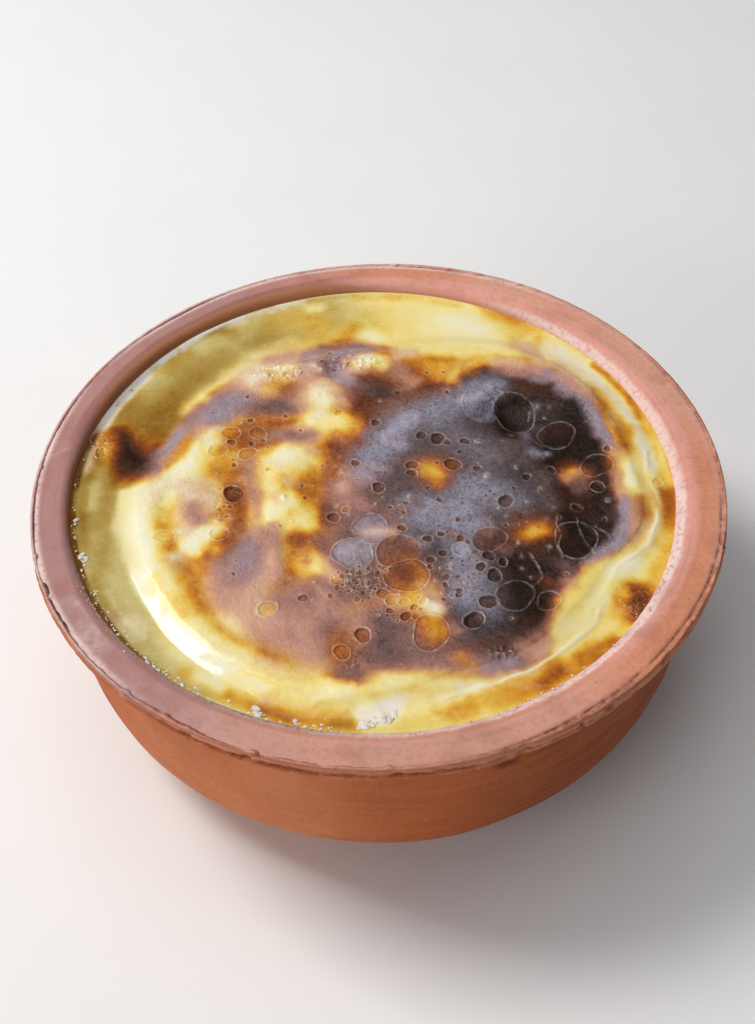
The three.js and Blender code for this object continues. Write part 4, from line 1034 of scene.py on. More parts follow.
    ("mahogany", 1.6, 3.6, 0.6, [(24.6, -9.6), (27, -8.8)]),
    ("plum", 1.2, 3.4, 0.8, [(-10, -14.2), (-9.2, -16)]),
    ("plum", 1.0, 2.8, 0.7, [(3.6, -6.6), (4.6, -7.4)]),
    ("peach", 0.9, 2.6, 0.6, [(-3.2, 30.2), (-2.4, 29.8)]),
    ("white", 0.7, 2.2, 0.5, [(-30.4, 15.2), (-29.6, 15)]),
    ("gold", 0.8, 2.4, 0.9, arc(53.2, 84, 94, 4)),
    ("peach", 0.9, 2.6, 0.6, [(-6.2, -1.6), (-5.8, -2.6)]),
    ("plum", 0.8, 2.2, 0.6, [(37, 0.2), (37.6, -0.6)]),
    ("white", 0.7, 2.2, 0.35, [(-42.4, 2.8), (-41.4, 3.4)]),
    ("peach", 0.9, 2.6, 0.6, [(-14.4, 14.2), (-13.6, 13.8)]),
    ("rust", 0.8, 2.4, 0.6, [(-6.4, 19.2), (-5.6, 19)]),
    ("peach", 0.8, 2.4, 0.5, [(-19.6, -47.8), (-18.4, -48.2)]),
    ("pink", 1.0, 2.8, 0.7, [(11.4, -33.6), (12.4, -34.6)]),
    ("rust", 0.8, 2.2, 0.5, [(28, -12.8), (28.8, -12.6)]),
    ("honey", 0.9, 2.6, 0.7, [(-7.4, 11.4), (-6.6, 10.8)]),
    ("white", 0.8, 2.4, 0.4, [(-29.6, 45), (-27, 46.2)]),
    ("white", 0.9, 2.8, 0.4, [(-11.6, 34), (-10.4, 34.2)]),
    ("whey", 1.0, 3.0, 0.5, [(-19.8, 38), (-18.2, 38.4)]),
    ("lemon", 1.0, 3.0, 0.8, [(-6, -48.8), (-4.4, -49.2)]),
    ("orange", 1.0, 2.6, 0.8, [(-27.2, -0.4), (-26.8, -1.6)]),
    ("pink", 1.0, 2.8, 0.6, [(-3.2, -5.6), (-2.8, -6.6)]),
    ("rust", 1.0, 3.0, 0.5, [(46.2, -7.4), (46.6, -10.4)]),
    ("mauve", 0.8, 2.6, 0.5, [(45.8, -8), (46, -10)]),
    ("white", 0.8, 2.2, 0.6, [(-52.6, 14.4), (-51.6, 16.2)]),
    ("slate", 0.9, 2.4, 0.8, [(23.6, 20.2), (24.6, 21.8)]),
    ("char", 1.2, 2.8, 1.0, [(31.6, 14.2), (33, 15.8)]),
    ("lavender", 1.0, 2.8, 0.6, [(-5.6, 27.6), (-4.4, 26.4)]),
    ("plum", 1.0, 2.8, 0.9, [(6.4, -5.6), (7.4, -6.6)]),
    ("plum", 1.0, 3.0, 0.8, [(18.6, -12.4), (19.6, -13.6)]),
    ("peach", 1.0, 2.6, 0.7, [(-12.4, 8.4), (-11.6, 7.6)]),
    ("cream", 1.0, 2.8, 0.8, [(50, 3), (50.2, 1)]),
    ("rust", 1.2, 3.2, 0.7, [(27.4, -24.4), (28.4, -25.6)]),
    ("amber", 0.9, 2.6, 0.6, [(48.6, 19.6), (49.4, 18.2)]),
    ("slate", 1.2, 3.0, 0.7, [(18.4, 14.4), (19.6, 13.6)]),
    ("peach", 1.0, 2.8, 0.6, [(-18.4, -3.6), (-17.6, -4.6)]),
    ("mauve", 1.0, 2.8, 0.6, [(-5.4, 23.4), (-4.6, 22.4)]),
    ("butter", 1.0, 2.8, 0.7, [(-14.4, 4.4), (-13.6, 3.4)]),
    ("lavender", 0.9, 2.8, 0.35, [(-45.4, -29.6), (-44.6, -30.6)]),
    ("pink", 1.0, 2.8, 0.8, [(6.6, -24.6), (7.4, -25.4)]),
    ("mauve", 0.9, 2.6, 0.5, [(-35.4, 15.4), (-34.6, 14.6)]),
    ("cream", 0.9, 2.8, 0.7, [(-38, -2.4), (-38, -3.8)]),
    ("lavender", 1.0, 3.0, 0.5, [(-24.6, 23.4), (-23.4, 22.8)]),
    ("amber", 0.9, 2.6, 0.6, [(11, -52), (13, -51.6)]),
    ("white", 1.0, 2.4, 0.65, [(-2.6, -51.4), (1.6, -49.8)]),
    ("white", 0.8, 2.2, 0.6, [(0.4, -48.6), (3, -48)]),
    ("sheen_mist", 1.1, 2.6, 0.6, [(23.4, 20.6), (25, 21.6)]),
    ("peach", 1.0, 2.8, 0.6, [(-16.6, 0.4), (-15.6, -0.6)]),
    ("plum", 1.1, 3.0, 0.9, [(3.6, -7.4), (4.6, -8.6)]),
    ("plum", 1.1, 3.0, 0.9, [(12.4, -13.4), (13.6, -14.6)]),
    ("mauve", 1.0, 2.8, 0.6, [(21.4, -17.6), (22.4, -18.4)]),
    ("white", 0.7, 2.0, 0.4, [(-4, 31.4), (-3.2, 31)]),
    ("cream", 1.1, 3.0, 0.6, [(-13, 50), (-11, 50.2)]),
    ("cream", 0.9, 2.6, 0.6, [(-30.6, 12.4), (-29.4, 11.6)]),
    ("butter", 1.0, 2.8, 0.6, [(-38.2, -11.4), (-37.8, -12.8)]),
    ("rust", 1.0, 2.8, 0.5, [(-16.6, 24.2), (-15.4, 23.6)]),
    ("gold", 1.0, 2.8, 0.6, [(-33.8, -25.6), (-32.4, -26.8)]),
    ("honey", 1.0, 2.6, 0.6, [(15.4, 25.2), (16.6, 24.8)]),
    ("peach", 1.0, 2.8, 0.7, [(32.4, 30.4), (33.6, 29.6)]),
    ("orange", 0.8, 1.6, 0.9, [(43.6, 29.6), (45.6, 26.6), (47, 23.6), (48.4, 20.2), (49.9, 16.7),
                               (50.6, 13.7)]),
    ("gold", 0.8, 1.6, 0.8, [(51.2, 13), (51.8, 8.6), (51.7, 3)]),
    ("ivory", 0.45, 1.3, 0.85, [(49.3, 4), (49.6, 9.2), (49, 13.6), (47.8, 16.4), (46.4, 18.8), (45, 22),
                                (43.8, 24.6), (42.4, 26.8), (40.4, 28.8)]),
    ("orange", 1.0, 2.8, 0.5, [(-14.4, -17.6), (-13.6, -18.6)]),
    ("pink", 1.0, 2.8, 0.6, [(31.6, -24.6), (32.4, -25.6)]),
    ("cream", 0.9, 2.6, 0.5, [(-33.4, 23.4), (-32.6, 22.8)]),
    ("whey", 1.0, 2.8, 0.5, [(-25.6, 34.2), (-24.4, 34)]),
    ("lavender", 0.9, 2.6, 0.5, [(-4.4, 0.4), (-3.6, -0.4)]),
    ("amber", 0.9, 2.6, 0.6, [(18.4, 28.2), (19.6, 28)]),
    ("soot", 1.0, 2.8, 0.7, [(30.4, 19.2), (31.6, 18.8)]),
    ("mauve", 0.9, 2.6, 0.5, [(-5.6, 34.4), (-4.6, 33.6)]),
    ("bronze", 0.8, 2.4, 0.6, [(-7.4, -52.8), (-5, -53)]),
    ("soot", 0.9, 2.4, 0.6, [(21.4, 18.2), (22.4, 17.6)]),
    ("peach", 1.0, 2.8, 0.7, [(25.4, -39.4), (26.6, -38.6)]),
    ("orange", 0.9, 2.4, 0.6, [(-34.4, -18.6), (-33.4, -19.6)]),
    ("slate", 1.0, 2.6, 0.6, [(18.6, 14.2), (19.4, 13.6)]),
    ("rust", 1.0, 2.8, 0.6, [(-5.4, 8.4), (-4.6, 7.6)]),
    ("rust", 1.0, 2.8, 0.35, [(-21.4, 8.4), (-20.6, 7.6)]),
    # the burnt hollow in the left moat
    ("rust", 3.0, 6.0, 1.0, [(-48.6, 13), (-46.4, 8.8), (-44, 5.2)]),
    ("mahogany", 1.8, 4.0, 0.9, [(-48.6, 8), (-46.8, 3.6)]),
    ("char", 2.3, 6.2, 1.0, [(-48, 12), (-46.4, 8.6), (-44.4, 5.4)]),
    ("mahogany", 1.0, 3.8, 0.9, [(-49, 14.4), (-49.6, 9)]),
    ("gold", 2.2, 4.6, 0.9, [(-52, 12), (-51.6, 8)]),
    ("amber", 1.0, 2.9, 0.9, [(-52.6, 13.4), (-51, 11.6)]),
    ("rust", 0.9, 2.6, 0.9, [(-53.6, 14.2), (-53.2, 11)]),
    ("bronze", 1.2, 3.0, 0.8, [(-52.6, 8.6), (-51.8, 6.4)]),
    ("white", 0.7, 2.0, 0.9, [(-52.4, 15.4), (-52, 16.8), (-50.2, 20.8)]),
    ("white", 0.7, 2.0, 0.45, [(-53.8, 4.6), (-53.6, 9.6), (-53.2, 14)]),
    ("rust", 0.8, 2.2, 0.5, [(-51.2, 13.4), (-50.6, 12.4)]),
]

# The thin line of white milk along the back left shore, partly a painted highlight on the wet meniscus.
MILK_AND_GLEAM_LINE = [
    (-54.3, 13.5), (-52.4, 18), (-50, 23), (-47, 28.4), (-43.4, 33.3), (-39.4, 37.8),
    (-34.6, 42.2), (-29.6, 45.6), (-24.6, 48.2), (-19.8, 50.2), (-14.5, 52),
]


def painted_places(x, y):
    """Where places lie in the flat view, shaken a little so that no stroke has a ruled edge."""
    here = np.c_[x, y]
    wx = x + 0.75 * noise(here, 5.5, 61, 2) + 0.30 * noise(here, 1.5, 62, 2)
    wy = y + 0.75 * noise(here, 5.5, 63, 2) + 0.30 * noise(here, 1.5, 64, 2)
    return wx, wy + LEAN * ground(x, y)


def paint_over(levels, cover, tone):
    """Blend one tone into the levels, each place by its own share."""
    levels += cover[:, None] * (np.array(tone) - levels)


def paint_strokes(levels, wx, wy):
    """Lay the strokes over each other, each only on the places that it can reach."""
    for tone, half, soft, strength, path in STROKES:
        reach = half + soft / 2
        low, high = np.min(path, axis=0) - reach, np.max(path, axis=0) + reach
        near = (wx > low[0]) & (wx < high[0]) & (wy > low[1]) & (wy < high[1])
        cover = strength * smooth((reach - path_distance(wx[near], wy[near], path)) / soft)
        levels[near] += cover[:, None] * (np.array(TONES[tone]) - levels[near])


def paint_milk_and_gleam_line(levels, x, y, wx, wy):
    """The line of milk and painted highlight is broad at the left, uneven, and thin in places."""
    here = np.c_[x, y]
    width = 0.60 + 0.35 * bell((x + 43) / 7) + 0.3 * noise(here, 2.5, 65, 2)
    line = smooth((width + 0.35 - path_distance(wx, wy, curve_through(MILK_AND_GLEAM_LINE))) / 0.7)
    line = line * (0.75 + 0.5 * noise(here, 1.1, 85))
    paint_over(levels, np.clip(line, 0, 1), MILK_AND_GLEAM_TONE)


def paint_crest(levels, x, y):
    """The pale line along the top of the fold, dried skin and painted highlight, is broader towards the
    back.
    """
    broad = 0.26 + 0.30 * smooth((y + 28) / 15)
    width = broad * (1 + 0.35 * noise(np.c_[x, y], 3, 66))
    crest = crest_strength(x, y) * bell(crest_distance(x, y) / width)
    paint_over(levels, 0.85 * crest, CREST_AND_HIGHLIGHT_TONE)


def paint_shore(levels, x, y):
    """Whey has burnt along the clay at the left."""
    reach = 1.0 + 0.6 * noise(np.c_[x, y], 3.2, 67, 2)
    near = smooth((reach - wall_distance(x, y)) / 0.5)
    stained = azimuth_window(np.arctan2(y, x), *BURNT_SHORE) * near
    paint_over(levels, 0.9 * stained, SHORE_TONE)


def paint_rings(levels, rim_highlights, x, y):
    """Darken a bubble's floor, paint a shadow in the trench inside its rim, and paint a highlight on the
    rim.
    """
    for index, ring in enumerate(RINGS):
        cx, cy, radius, kind = ring
        near = np.hypot(x - cx, y - cy) < radius * 1.2 + 1.0
        dx, dy = x[near] - cx, y[near] - cy
        rim_at = ring_radius(ring, np.arctan2(dy, dx), index)
        far = np.hypot(dx, dy)
        inside = smooth((rim_at - far) / (0.25 * radius + 0.1) + 0.3)
        # A painted highlight on the rim, and a painted shadow in the trench just inside it.
        rim = bell((far - rim_at) / 0.12)
        trench = bell((far - rim_at + 0.27) / 0.15)
        broken = smooth(0.7 + 1.1 * noise(np.c_[x[near], y[near]], 1.1, 69))
        lit = (0.4 + 0.6 * ((index * 0.618) % 1)) * broken
        rim_highlights[near] = np.maximum(rim_highlights[near], lit * rim)
        part = levels[near]
        if kind in ("open", "well", "flat"):
            part[:, 1] *= 1 - 0.55 * inside
            part[:, 2] *= 1 - (0.55 if kind == "flat" else 0.8) * inside
        if kind in ("open", "well"):
            part[:, 0] += 0.16 * inside * (1 - part[:, 0])
        part[:, 0] += 0.16 * trench * smooth(3 * part[:, 0] - 0.6) * (1 - part[:, 0])
        # Painted sheen inside pale and pearl bubbles, and along the rims of scorched ones.
        if kind in ("pale", "pearl"):
            part[:, 2] += 0.4 * inside * (1 - part[:, 2])
        part[:, 2] += 0.10 * rim * (1 - part[:, 2]) * smooth(part[:, 0] * 2 - 0.4)
        part[:, 0] -= 0.05 * rim
        levels[near] = part


def paint_creases(rim_highlights, x, y):
    """A painted highlight along the top of each crease."""
    broken = smooth(0.8 + 1.4 * noise(np.c_[x, y], 1.2, 70))
    for _, _, pale, points in CREASES:
        ridge = pale * bell(path_distance(x, y, curve_through(points)) / 0.10)
        np.maximum(rim_highlights, ridge * broken, out=rim_highlights)


def paint_crumbs(levels, rim_highlights, x, y):
    """The skin is darker in each crumb's hollow, as painted shade, and the walls between get painted
    highlights.
    """
    for cx, cy, a, b, turn, rough in CRUMBLY:
        spot = smooth(1.5 - ellipse_distance(x, y, cx, cy, a, b, turn))
        near = spot > 0
        packed = cells(x[near], y[near], CRUMB, 51)
        dark = smooth(levels[near, 0] * 3 - 0.9) * spot[near] * min(1, 2 * rough)
        levels[near, 0] += dark * (0.12 - 0.34 * packed)
        rim_highlights[near] = np.maximum(rim_highlights[near], 0.8 * dark * packed ** 3)


def paint_browning(x, y):
    """Browning, dry skin, haze, whey, and painted highlights on bubble edges, creases and crumbs, at each
    place.
    """
    wx, wy = painted_places(x, y)
    levels = np.tile(np.array(TONES["lemon"]), (len(x), 1))
    rim_highlights = np.zeros(len(x))
    paint_strokes(levels, wx, wy)
    paint_milk_and_gleam_line(levels, x, y, wx, wy)
    paint_crest(levels, x, y)
    paint_shore(levels, x, y)
    paint_rings(levels, rim_highlights, x, y)
    paint_creases(rim_highlights, x, y)
    paint_crumbs(levels, rim_highlights, x, y)
    return np.clip(np.c_[levels, rim_highlights], 0, 1)


# ---------------------------------------------------------------- the pudding's mesh

REACH = 0.45  # how far the pudding reaches into the clay, so that no gap shows
GRID = 0.46  # spacing of the surface's plain stretches
ROW_GRID = 0.26  # spacing along the rows that follow a bubble's rim
FINE_GRID = 0.07  # places closer than this become one
RIM_ROWS = (-0.62, -0.42, -0.27, -0.16, -0.07, 0.01, 0.09, 0.19, 0.34, 0.52)  # from a large bubble's rim
LARGE_BUBBLE = 0.65
CREASE_HALF, CREST_HALF = 0.55, 0.95  # half widths of the close rows beside a crease and the crest
CREASE_ROWS = 0.11  # spacing of those rows
CRUMB_SPREAD, CRUMB_DENSITY = 1.35, 9  # how far the places reach past a crumbly spot, and how close

# Radius and height of the pudding's sides and floor, which the bowl hides.
HIDDEN_ROWS = [(INNER_EDGE + REACH, 42.4), (53.6, 41.0), (53.4, 25.0), (50.5, 14.0), (37.0, 6.4)]
HIDDEN_BROWNING = 0.1


def make_piece(name, points, faces, material, replaces=None, fields=None):
    """A mesh piece from points in millimetres, riding on the one body."""
    mesh = bpy.data.meshes.new(name)
    points = np.asarray(points, float) * MM
    sizes = np.array([len(face) for face in faces])
    corners = np.concatenate([np.asarray(face) for face in faces])
    mesh.vertices.add(len(points))
    mesh.vertices.foreach_set("co", points.ravel())
    mesh.loops.add(len(corners))
    mesh.loops.foreach_set("vertex_index", corners.astype(np.int32))
    mesh.polygons.add(len(sizes))
    mesh.polygons.foreach_set("loop_start", np.r_[0, np.cumsum(sizes)[:-1]].astype(np.int32))
    mesh.polygons.foreach_set("use_smooth", np.ones(len(sizes), bool))
    mesh.update(calc_edges=True)
    mesh.validate()
    for field, values in (fields or {}).items():
        layer = mesh.attributes.new(field, "FLOAT", "POINT")
        layer.data.foreach_set("value", np.asarray(values, np.float32))
    mesh.materials.append(material)
    piece = bpy.data.objects.new(name, mesh)
    bpy.context.scene.collection.objects.link(piece)
    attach(piece, "root")
    if replaces:
        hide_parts(replaces)
    return piece


def circle_grid(reach, rings):
    """Even places on circles round the origin, each circle with six more than the one inside it."""
    grid = [np.zeros((1, 2))]
    for k in range(1, rings):
        angles = (np.arange(6 * k) + 0.5 * (k % 2)) / (6 * k) * math.tau
        grid.append(reach * k / rings * np.c_[np.cos(angles), np.sin(angles)])
    return np.vstack(grid)


def places_round(ring, index):
    """Rows of places beside a bubble's rim, and its middle."""
    cx, cy, radius, _ = ring
    offsets = RIM_ROWS if radius > LARGE_BUBBLE else (-0.6 * radius, -0.25 * radius, 0.0, 0.16)
    count = max(9, round(math.tau * radius / ROW_GRID))
    rows = []
    for row, offset in enumerate(offsets):
        angles = (np.arange(count) + 0.5 * (row % 2)) / count * math.tau
        far = ring_radius(ring, angles, index) + offset
        rows.append(np.c_[cx + far * np.cos(angles), cy + far * np.sin(angles)])
    return rows + [np.array([[cx, cy]])]


def places_beside(path, half):
    """Close rows of places on both sides of a path."""
    heading = np.gradient(path, axis=0)
    side = np.c_[-heading[:, 1], heading[:, 0]] / np.hypot(*heading.T)[:, None]
    return [path + side * offset for offset in np.linspace(-half, half, round(half / CREASE_ROWS) + 1)]


def places_among_crumbs():
    """Places spread at random over the crumbly spots."""
    rng = np.random.default_rng(8)
    spots = []
    for cx, cy, a, b, turn, _ in CRUMBLY:
        count = int(math.pi * a * b * 2.2 * CRUMB_DENSITY)
        spread = np.sqrt(rng.random(count))[:, None] * CRUMB_SPREAD
        angles = rng.uniform(0, math.tau, count)
        local = spread * np.c_[a * np.cos(angles), b * np.sin(angles)]
        c, s = math.cos(math.radians(turn)), math.sin(math.radians(turn))
        spots.append(local @ np.array([[c, s], [-s, c]]) + (cx, cy))
    return spots


def surface_places():
    """Places for the skin's mesh points: an even grid, with closer points along every rim and crease."""
    centre, reach = np.array([-INNER_SHIFT, 0.0]), INNER_EDGE + REACH
    rings = round(reach / GRID)
    places = circle_grid(reach, rings) + centre
    keep = np.ones(len(places), bool)
    fine = []
    for index, ring in enumerate(RINGS):
        cx, cy, radius, _ = ring
        fine += places_round(ring, index)

        # the even grid gives way to the rows along the rim
        far = np.hypot(*(places - (cx, cy)).T)
        keep &= ~((far < radius * 1.06 + 0.62) & (far > radius * 0.94 - 0.75))
    spines = [(curve_through(crease[-1], 8), CREASE_HALF) for crease in CREASES]
    for path, half in spines + [(curve_through(CREST, 18), CREST_HALF)]:
        keep &= path_distance(places[:, 0], places[:, 1], path) > half + 0.05
        fine += places_beside(np.array(path), half)
    fine = np.vstack(fine + places_among_crumbs())
    fine = fine[np.hypot(*(fine - centre).T) < reach - 0.3]
    places = np.vstack([places[keep], fine])
    places = np.unique(np.round(places / FINE_GRID), axis=0) * FINE_GRID
    angles = np.arange(6 * rings) / (6 * rings) * math.tau
    rim = centre + (reach + wobble(angles))[:, None] * np.c_[np.cos(angles), np.sin(angles)]
    inside = np.hypot(*(places - centre).T) < reach - 0.25
    return np.vstack([rim, places[inside]]), len(rim)


def close_below(top, loop):
    """Points and faces of the sides and the floor under the skin's rim, which the bowl hides."""
    angles = np.arctan2(top[loop, 1], top[loop, 0] + INNER_SHIFT)
    points, faces = [top], []
    above, start = np.array(loop), len(top)
    for radius, height in HIDDEN_ROWS:
        x, y = radius * np.cos(angles) - INNER_SHIFT, radius * np.sin(angles)
        points.append(np.c_[x, y, np.full(len(loop), height)])
        below = start + np.arange(len(loop))
        faces += [(a, d, c, b) for a, b, c, d in zip(above, np.roll(above, -1), np.roll(below, -1), below)]
        above, start = below, start + len(loop)
    faces += [(a, start, b) for a, b in zip(above, np.roll(above, -1))]
    return np.vstack(points + [[[-INNER_SHIFT, 0.0, HIDDEN_ROWS[-1][1]]]]), faces


def pudding_fields(x, y, hidden):
    """The painted levels, and how wet the skin is, with plain values for the hidden points."""
    levels = paint_browning(x, y)
    names = ("browning", "skin", "haze", "whey", "rim_highlights")
    fields = {name: np.r_[levels[:, k], np.full(hidden, HIDDEN_BROWNING)] for k, name in enumerate(names)}
    inland = shore_radius(np.arctan2(y, x)) - np.hypot(x, y)
    moist = (1 - levels[:, 1]) * smooth(1.7 - 3.4 * levels[:, 0])
    wet = np.maximum(smooth((3.6 - inland) / 1.2), (0.55 + 0.15 * smooth(x / 20 + 1)) * moist)
    return {**fields, "wet": np.r_[wet, np.zeros(hidden)]}


def pudding_piece(material):
    """The skin's fine mesh, closed below by plain sides and a floor."""
    places, rim_count = surface_places()
    flat, _, triangles, sources, *_ = delaunay_2d_cdt([Vector(p) for p in places], [], [], 0, 1e-5)
    x, y = np.array([tuple(v) for v in flat]).T.copy()
    top = np.c_[x, y, FILL_LEVEL + skin_height(x, y)]
    made_from = {index: i for i, source in enumerate(sources) for index in source}
    points, hidden_faces = close_below(top, [made_from[i] for i in range(rim_count)])
    faces = [tuple(f) for f in triangles] + hidden_faces
    fields = pudding_fields(x, y, len(points) - len(top))
    return make_piece("rice_pudding", points, faces, material, "pudding", fields)


# ---------------------------------------------------------------- the bowl's mesh

AROUND = 900  # places round the bowl
BEAD_RADIUS = RIM_RADIUS + BEAD_BULGE - BEAD_DEPTH
BEAD_LEVEL = HEIGHT - EDGE_DROP - BEAD_HALF
BODY_TOP = BEAD_LEVEL - BEAD_HALF - 0.5
UNDER_GROOVE_LEVEL = 43.35
UPPER_BEAD_LEVEL = 43.6
TRIM_LEVEL = 43.9
GROOVE_DEPTH = 0.22

# Marked stretches round the bowl: middle, half width and softness, in degrees.
ARCS = {
    "scored edge": (290, 85, 25), "scored edge, left": (203, 12, 12),
    "scored edge, right": (318, 22, 12), "wide groove": (272, 22, 14),
    "scratch bends in": (328, 22, 28), "scratched face": (318, 28, 10),
    "under groove": (268, 26, 16), "pale bead": (270, 28, 16), "grey bloom": (170, 48, 42),
    "thin bloom": (250, 25, 40), "mineral spot": (214, 3.5, 5), "faint mineral spot": (226, 3, 6),
    "worn face": (132, 30, 16), "sagging trim": (322, 26, 22), "low trim": (268, 22, 18),
    "wide crust": (270, 62, 20), "widest crust": (272, 24, 14), "dark crust": (230, 26, 15),
    "milk, right": (5, 45, 20), "milk, front": (296, 46, 20), "edge highlight, back": (100, 32, 20),
    "edge highlight, left": (193, 26, 15), "edge highlight, right": (30, 50, 20),
    "milky face, right": (40, 24, 18), "milky face, front": (272, 26, 18), "blush": (30, 68, 20),
    "faint blush": (300, 30, 20), "deep soak": (128, 24, 14), "soaked": (165, 62, 22),
    "half soaked": (240, 25, 15), "damp lip": (90, 30, 20), "dusty wall": (242, 14, 18),
    "smoked wall": (322, 20, 26),
}


def belly_wall(top, high, foot, low, steps):
    """Radius and height down a bellied wall."""
    down = np.sin(np.linspace(0, math.pi / 2, steps))
    return [(foot + (top - foot) * (1 - d ** BELLY), high - (high - low) * d) for d in down]


def bowl_profile():
    """Radius, height and zone along the clay, from under the foot round to the inner floor."""
    bead = [(BEAD_RADIUS + BEAD_DEPTH * math.cos(a), BEAD_LEVEL + BEAD_HALF * math.sin(a))
            for a in np.radians(np.linspace(-90, 70, 16))]
    insets = np.r_[np.linspace(0.15, 1.2, 6), np.linspace(1.6, RIM_RADIUS - FACE_INNER_RADIUS - 0.3, 9)]
    face = [(RIM_RADIUS - inset, HEIGHT - EDGE_DROP * (1 - smooth(inset / 1.4))) for inset in insets]
    lip_width = FACE_INNER_RADIUS - INNER_RADIUS
    lip = [(FACE_INNER_RADIUS + lip_width * math.cos(a), LIP_BOTTOM + LIP_ROUND * math.sin(a))
           for a in np.radians(np.linspace(90, 180, 18))]
    inner = belly_wall(INNER_RADIUS, LIP_BOTTOM, FOOT_RADIUS - FLOOR_THICKNESS, FLOOR_THICKNESS, 9)
    zones = {
        "foot": [(r, 0.0) for r in (12, 24, 34, 40, 42.4)],
        "body": belly_wall(BODY_RADIUS, BODY_TOP, FOOT_RADIUS, 0.0, 44)[::-1],
        "step": [(BODY_RADIUS + 0.15, BODY_TOP + 0.25), (BODY_RADIUS + 0.9, BODY_TOP + 0.42)],
        "bead": bead,
        "edge": [(RIM_RADIUS, HEIGHT - EDGE_DROP)],
        "face": face,
        "lip": lip,
        "inside": inner[1:] + [(20.0, FLOOR_THICKNESS)],
    }
    return [(r, z, zone) for zone, points in zones.items() for r, z in points]


class Clay:
    """The bowl's profile turned round: radius r, height z, angle a and zone of every place."""

    def __init__(self):
        radius, height, zones = (np.array(column) for column in zip(*bowl_profile()))
        self.radius, self.height = radius, height
        self.r, self.a = np.meshgrid(radius, np.arange(AROUND) / AROUND * math.tau, indexing="ij")
        self.z = np.repeat(height[:, None], AROUND, 1)
        self.zone = np.repeat(zones[:, None], AROUND, 1)
        self.circle = np.c_[np.cos(self.a).ravel(), np.sin(self.a).ravel()]
        self.rim = 60 * self.circle  # each place's spot on a circle about as large as the rim
        self.place = np.c_[self.r.ravel()[:, None] * self.circle, self.z.ravel()]
        self.edge_row = int(np.argmax(zones == "edge"))

    def on(self, *zones):
        """Which places lie in one of the zones."""
        return np.isin(self.zone, zones)

    def along(self, name):
        """1 along a marked stretch, and 0 well outside it."""
        return azimuth_window(self.a, *ARCS[name])

    def noise(self, size, seed, octaves=1, places=None):
        """Noise at the clay's places, or at others that are given for them."""
        places = self.place if places is None else places
        return noise(places, size, seed, octaves).reshape(self.r.shape)


def clay_relief(clay, ragged):
    """How far the clay stands out from its profile: turning marks, a chipped bead, an edge rounded off by
    wear.
    """
    streak = clay.noise(1.0, 71, 2, np.c_[clay.rim / 14, clay.z.ravel() / 0.75])
    furrow = clay.noise(1.0, 72, 2, np.c_[clay.rim / 40, clay.z.ravel() / 2.2])
    dents = smooth((clay.noise(2.4, 76, 2) - 0.30) / 0.25)
    bump = 0.16 * clay.noise(16, 73, 2) - 0.12
    bump += clay.on("body") * smooth(clay.z / 3) * (0.05 * streak + 0.13 * furrow)
    bump += clay.on("bead") * (0.10 * ragged + 0.10 * clay.noise(6, 75) - 0.45 * dents)
    bump += clay.on("face", "lip") * (0.05 * clay.noise(5, 77, 2) + 0.018 * clay.noise(1.2, 78, 2))
    bump += clay.on("edge") * (0.14 * ragged + 0.08 * clay.noise(0.9, 81) - 0.10)
    bump += clay.on("bead") * 0.07 * clay.noise(0.9, 82)
    return bump


def clay_grooves(clay, ragged):
    """How deep the clay is scored, 0 to 1."""
    # just outside the face's trimmed edge
    gate = clay.along("scored edge") + 0.6 * clay.along("scored edge, left")
    gate = smooth(0.8 + 1.4 * clay.noise(13, 79)) * gate
    gate = np.maximum(gate, 0.8 * clay.along("scored edge, right"))
    gate = gate * smooth(0.8 + 1.4 * clay.noise(1.8, 83, 2))
    row = np.arange(len(clay.radius))[:, None] + 0.45 * clay.noise(7, 80, 2, clay.rim)
    row += 0.25 * clay.noise(1.3, 84, 2, clay.rim)
    groove = gate * bell((row - clay.edge_row + 0.8) / (0.48 + 0.30 * clay.along("wide groove")))

    # on the face at the right
    inset = 0.15 + 0.85 * clay.along("scratch bends in") + 0.25 * clay.noise(6, 86, 1, clay.rim)
    scored = clay.along("scratched face") * smooth(0.9 + 1.3 * clay.noise(1.6, 87, 2))
    scored = scored * clay.on("face", "edge")
    groove = np.maximum(groove, scored * bell((RIM_RADIUS - inset - clay.r) / 0.22))

    # under the chipped edge at the front, where the groove's darker colour is a painted shadow
    under = clay.on("bead") * clay.along("under groove") * smooth(0.9 + 1.2 * clay.noise(2.2, 89, 2))
    return np.maximum(groove, under * bell((clay.z - UNDER_GROOVE_LEVEL + 0.25 * ragged) / 0.34))


def clay_points(clay, bump):
    """Every place in mm, moved out by its bump, out of round, and with the hollow off the axis."""
    tangent = np.c_[np.gradient(clay.radius), np.gradient(clay.height)]
    tangent /= np.hypot(*tangent.T)[:, None]
    out_r, out_z = tangent[:, 1], -tangent[:, 0]
    r, z, a = clay.r, clay.z, clay.a
    stray = wobble(a) * np.clip(z / HEIGHT, 0, 1) * np.clip(r / FOOT_RADIUS, 0, 1)
    depth = np.clip((HEIGHT - z) / (HEIGHT - FILL_LEVEL), 0, 1)
    across = np.clip((RIM_RADIUS - 1 - r) / (RIM_RADIUS - 1 - FACE_INNER_RADIUS), 0, 1)
    shift = np.where(clay.on("lip", "inside"), INNER_SHIFT * (FACE_SHARE + (1 - FACE_SHARE) * depth), 0)
    shift = np.where(clay.on("face"), INNER_SHIFT * FACE_SHARE * across, shift)
    rr = r + stray + bump * out_r[:, None]
    zz = np.clip(z + bump * out_z[:, None], 0, HEIGHT)
    return np.c_[(rr * np.cos(a) - shift).ravel(), (rr * np.sin(a)).ravel(), zz.ravel()]


